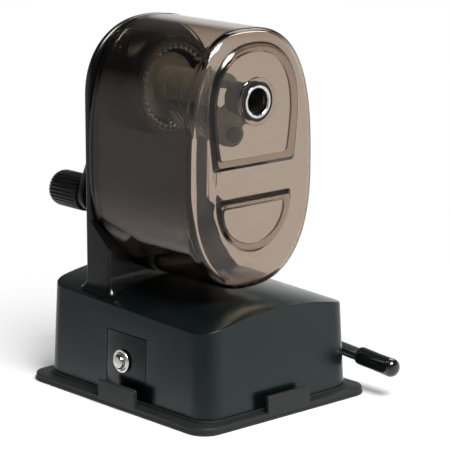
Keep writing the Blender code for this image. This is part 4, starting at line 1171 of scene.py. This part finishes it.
def crank_arm():
    """The arm: a tapering bar with rounded edges, a hub, and a shallow hollow down its back."""
    reach = math.hypot(KNOB_X, AXIS_Z - KNOB_Z)
    outside = round_ended(ARM_AXIS_R, ARM_END_R, reach, -ARM_ANGLE, 24)
    hollow = round_ended(ARM_AXIS_R - ARM_EDGE, ARM_END_R - ARM_EDGE, reach, -ARM_ANGLE, 24)
    bm = softened(pushed(outside, ARM_FRONT, ARM_BACK), 0.0007, 3)
    bm = carved(bm, pushed(hollow, ARM_BACK - 0.0008, ARM_BACK + 0.001))
    hub_l = ARM_BACK - 0.0002 - REAR_BOSS_END - 0.0026
    hub = [(0, 0), (HUB_R - 0.0006, 0), (HUB_R, 0.0006), (HUB_R, hub_l - 0.0006), (HUB_R - 0.0005, hub_l),
           (0, hub_l)]
    bm = carved(bm, spun(hub, (0, REAR_BOSS_END + 0.0026, AXIS_Z), (0, 1, 0)), 'UNION')
    end_seat = plug(0.0058, (KNOB_X, ARM_BACK - 0.0012, KNOB_Z), (0, 1, 0), 0.0011)
    bm = carved(bm, end_seat, 'UNION')
    bm = carved(bm, plug(SHAFT_R + SEAM, (0, REAR_BOSS_END, AXIS_Z), (0, 1, 0), 0.02))
    return carved(bm, plug(RIVET_R + SEAM, (KNOB_X, ARM_FRONT - 0.01, KNOB_Z), (0, 1, 0), 0.02))


def bearing():
    """The bearing bush and its flange."""
    low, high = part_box("shaft_bearing")
    length = high.y - low.y
    flange_r = (high.x - low.x) / 2
    inner = SHAFT_R + SEAM
    profile = [(inner, 0), (flange_r - 0.0003, 0), (flange_r, 0.0003), (flange_r, 0.0014),
               (flange_r - 0.0002, 0.0016), (BUSH_R, 0.0016), (BUSH_R, length - 0.0003),
               (BUSH_R - 0.0003, length), (inner, length)]
    return spun(profile, (0, high.y - BASE_Y, AXIS_Z), (0, -1, 0))


def clamp_nut():
    """Hexagon nut with turned-off corners."""
    low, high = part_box("crank_nut")
    radius = (high.z - low.z) / 2
    thick = high.y - low.y
    bm = spun([(0, 0), (radius, 0), (radius, thick), (0, thick)], (0, 0, 0), (0, 0, 1), 6)
    bmesh.ops.rotate(bm, cent=(0, 0, 0), matrix=Matrix.Rotation(math.pi / 2, 3, 'Z'), verts=bm.verts)
    bm = softened(bm, 0.0003, 2, math.radians(50))
    bmesh.ops.transform(bm, matrix=Matrix.Translation((0, low.y - BASE_Y, AXIS_Z))
                        @ Vector((0, 1, 0)).to_track_quat('Z', 'Y').to_matrix().to_4x4(), verts=bm.verts)
    return carved(bm, plug(SHAFT_R + SEAM, (0, low.y - BASE_Y - 0.005, AXIS_Z), (0, 1, 0), 0.02))


def knob_rivet():
    """Rivet with a shallow domed head."""
    low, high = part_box("knob_rivet")
    head_r = (high.x - low.x) / 2
    head_t = 0.0014
    length = high.y - low.y
    profile = [(0, 0), (head_r * 0.35, 0.00005), (head_r * 0.70, 0.00035), (head_r * 0.92, 0.0008),
               (head_r, head_t - 0.0001), (head_r - 0.0001, head_t), (RIVET_R, head_t),
               (RIVET_R, length - 0.0004), (RIVET_R - 0.0004, length), (0, length)]
    return spun(profile, (KNOB_X, low.y - BASE_Y, KNOB_Z), (0, 1, 0), 48)


def ribbed_knob(points_a_rib=8):
    """The grip: rounded ribs that fade out on a smooth, crowned end."""
    stations = [(0.0, 0.0006, 0.0), (0.0003, 0.0002, 0.3), (0.0008, 0.0, 1.0)]
    stations += [(KNOB_L - back, inset, depth) for back, inset, depth in
                 ((0.0036, 0.0, 1.0), (0.0026, 0.0002, 1.0), (0.0017, 0.0006, 0.9), (0.0009, 0.0013, 0.6),
                  (0.0003, 0.0023, 0.2), (0.00005, 0.0034, 0.0), (0.0, 0.0046, 0.0))]
    outlines = []
    for y, inset, depth in stations:
        ring = []
        for step in range(KNOB_RIBS * points_a_rib):
            angle = 2 * math.pi * step / (KNOB_RIBS * points_a_rib)
            groove = max(0.0, -math.cos(KNOB_RIBS * angle)) ** 0.7
            radius = KNOB_R - inset - 0.00062 * depth * groove
            ring.append((KNOB_X + radius * math.cos(angle), KNOB_FRONT + y,
                         KNOB_Z + radius * math.sin(angle)))
        outlines.append(ring)
    bm = lofted(outlines)
    return carved(bm, plug(RIVET_R + SEAM, (KNOB_X, KNOB_FRONT - 0.002, KNOB_Z), (0, 1, 0), 0.0175))


finished("handle_arm", crank_arm(), black_plastic, "crank", ["crank_arm"])
finished("handle_bearing", bearing(), black_plastic, "stand", ["shaft_bearing"])
finished("handle_nut", clamp_nut(), zinc, "crank", ["crank_nut"])
finished("handle_rivet", knob_rivet(), zinc, "crank", ["knob_rivet"])
finished("handle_knob", ribbed_knob(), black_plastic, "knob", ["crank_knob"], angle=50)

# ---- Vacuum lever -----------------------------------------------------------------------------
# A bent bright rod runs through the base. Its left end is a stud held by a spring nut, and its
# right arm ends in a dipped, glossy black cap. A washer lies against the right panel.

LEVER_R = 0.0028
LEVER_BEND_R = 0.0048
LEVER_DROP = math.radians(4.5)
rod_low, rod_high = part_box("lever_rod")
LEVER_ARM_X = rod_high.x - BASE_X - LEVER_R
LEVER_LEFT_X = rod_low.x - BASE_X
LEVER_END_REACH = -(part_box("lever_cap")[0].y - BASE_Y) / math.cos(LEVER_DROP)
CAP_R = 0.0038
CAP_L = 0.0205
LEVER_WAY = Vector((0, -math.cos(LEVER_DROP), -math.sin(LEVER_DROP)))


def lever_rod(sides=40):
    """The rod, swept along its line, with eased ends and a groove behind the stud's head."""
    right = Vector((1, 0, 0))
    corner = Vector((LEVER_ARM_X, 0, SHAFT_Z))
    turn_middle = corner + (LEVER_WAY - right) * LEVER_BEND_R
    spine = [(Vector((LEVER_LEFT_X + step, 0, SHAFT_Z)), right, inset)
             for step, inset in ((0.0, 0.0009), (0.0001, 0.0005), (0.0003, 0.0002), (0.0006, 0.0),
                                 (0.0013, 0.0), (0.00135, 0.0002), (0.0018, 0.0002), (0.00185, 0.0))]
    for step in range(17):
        angle = math.pi / 2 * step / 16
        out = right * math.sin(angle) - LEVER_WAY * math.cos(angle)
        way = right * math.cos(angle) + LEVER_WAY * math.sin(angle)
        spine.append((turn_middle + out * LEVER_BEND_R, way.normalized(), 0.0))
    spine.append((corner + LEVER_WAY * (LEVER_END_REACH - 0.0022), LEVER_WAY, 0.0))
    aside = LEVER_WAY.cross(right).normalized()
    outlines = []
    for middle, way, inset in spine:
        across = way.cross(aside).normalized()
        outlines.append([middle + (aside * math.cos(2 * math.pi * i / sides)
                                   + across * math.sin(2 * math.pi * i / sides)) * (LEVER_R - inset)
                         for i in range(sides)])
    return lofted(outlines)


def lever_cap():
    """The cap, with a rolled mouth and the slight swell that dipping leaves."""
    tip = Vector((LEVER_ARM_X, 0, SHAFT_Z)) + LEVER_WAY * LEVER_END_REACH
    inner = LEVER_R + SEAM
    profile = [(0, CAP_L)]
    profile += [(CAP_R * math.sin(a), CAP_L - 0.0030 * (1 - math.cos(a)))
                for a in (0.25, 0.5, 0.75, 1.0, 1.25, 1.5)]
    profile += [(CAP_R, CAP_L - 0.0045), (CAP_R - 0.00012, CAP_L * 0.5), (CAP_R, 0.0022), (CAP_R, 0.0008),
                (CAP_R - 0.0001, 0.0003), (CAP_R - 0.0004, 0), (inner, 0), (inner, CAP_L - 0.0018),
                (0, CAP_L - 0.0018)]
    return spun(profile, tip - LEVER_WAY * CAP_L, LEVER_WAY)


def spring_nut():
    """Dished round nut pushed on the stud, with a fold between its rim and its raised middle."""
    low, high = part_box("push_nut")
    outer = (high.z - low.z) / 2
    thick = high.x - low.x
    inner = LEVER_R + SEAM
    profile = [(inner, 0), (outer - 0.0001, 0), (outer, 0.0001), (outer - 0.0001, 0.0003),
               (outer - 0.0009, 0.00035), (outer - 0.0011, thick - 0.0002), (outer - 0.0014, thick),
               (inner + 0.0001, thick), (inner, thick - 0.0001)]
    return spun(profile, (high.x - BASE_X, 0, SHAFT_Z), (-1, 0, 0))


def lever_washer():
    """Flat washer with eased edges."""
    low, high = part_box("lever_washer")
    outer = (high.z - low.z) / 2
    thick = high.x - low.x
    inner = LEVER_R + SEAM
    ease = 0.00012
    profile = [(inner, 0), (outer - ease, 0), (outer, ease), (outer, thick - ease), (outer - ease, thick),
               (inner, thick)]
    return spun(profile, (low.x - BASE_X, 0, SHAFT_Z), (1, 0, 0))


def dipped_vinyl():
    """Glossy black vinyl under a clear skin, with the faint sag lines of dipping."""
    nodes = Nodes(bpy.data.materials.new("dipped_black_vinyl"))
    sag = nodes.noise(210.0, 2.0, (1, 0.3, 1))
    lint = nodes.ramp(nodes.noise(1500.0, 3.0), (0.68, 0.0), (0.80, 1.0))
    tone = nodes.mix(lint * 0.4, (0.0045, 0.0045, 0.0050, 1.0), (0.045, 0.045, 0.045, 1.0))
    return nodes.coated({
        "Base Color": tone, "Roughness": 0.16 + lint * 0.20, "Coat Weight": 0.6 + sag * 0.4,
        "Coat Roughness": 0.05,
        "Normal": nodes.bump(sag, 0.00012, 0.6)})


chrome = metal("chromed_rod_steel", (0.72, 0.72, 0.71), 0.13, (1, 0.12, 1), 2600.0, 0.85)
nickel = metal("nickel_plate", (0.90, 0.88, 0.82), 0.24, (8, 1, 1), 1800.0, 0.85)
finished("lever_bar", lever_rod(), chrome, "lever", ["lever_rod"])
finished("lever_grip", lever_cap(), dipped_vinyl(), "lever", ["lever_cap"])
finished("stud_nut", spring_nut(), nickel, "lever", ["push_nut"])
finished("side_washer", lever_washer(), nickel, "lever", ["lever_washer"])

# ---- Lift -------------------------------------------------------------------------------------
# Inside the base an eccentric on the rod turns in a yoke, which draws the rubber sheet up. Both are
# plain black mouldings that nobody sees, so they keep their solids.

for node in ("lift_cam", "lift_yoke"):
    refinished(node, black_plastic)
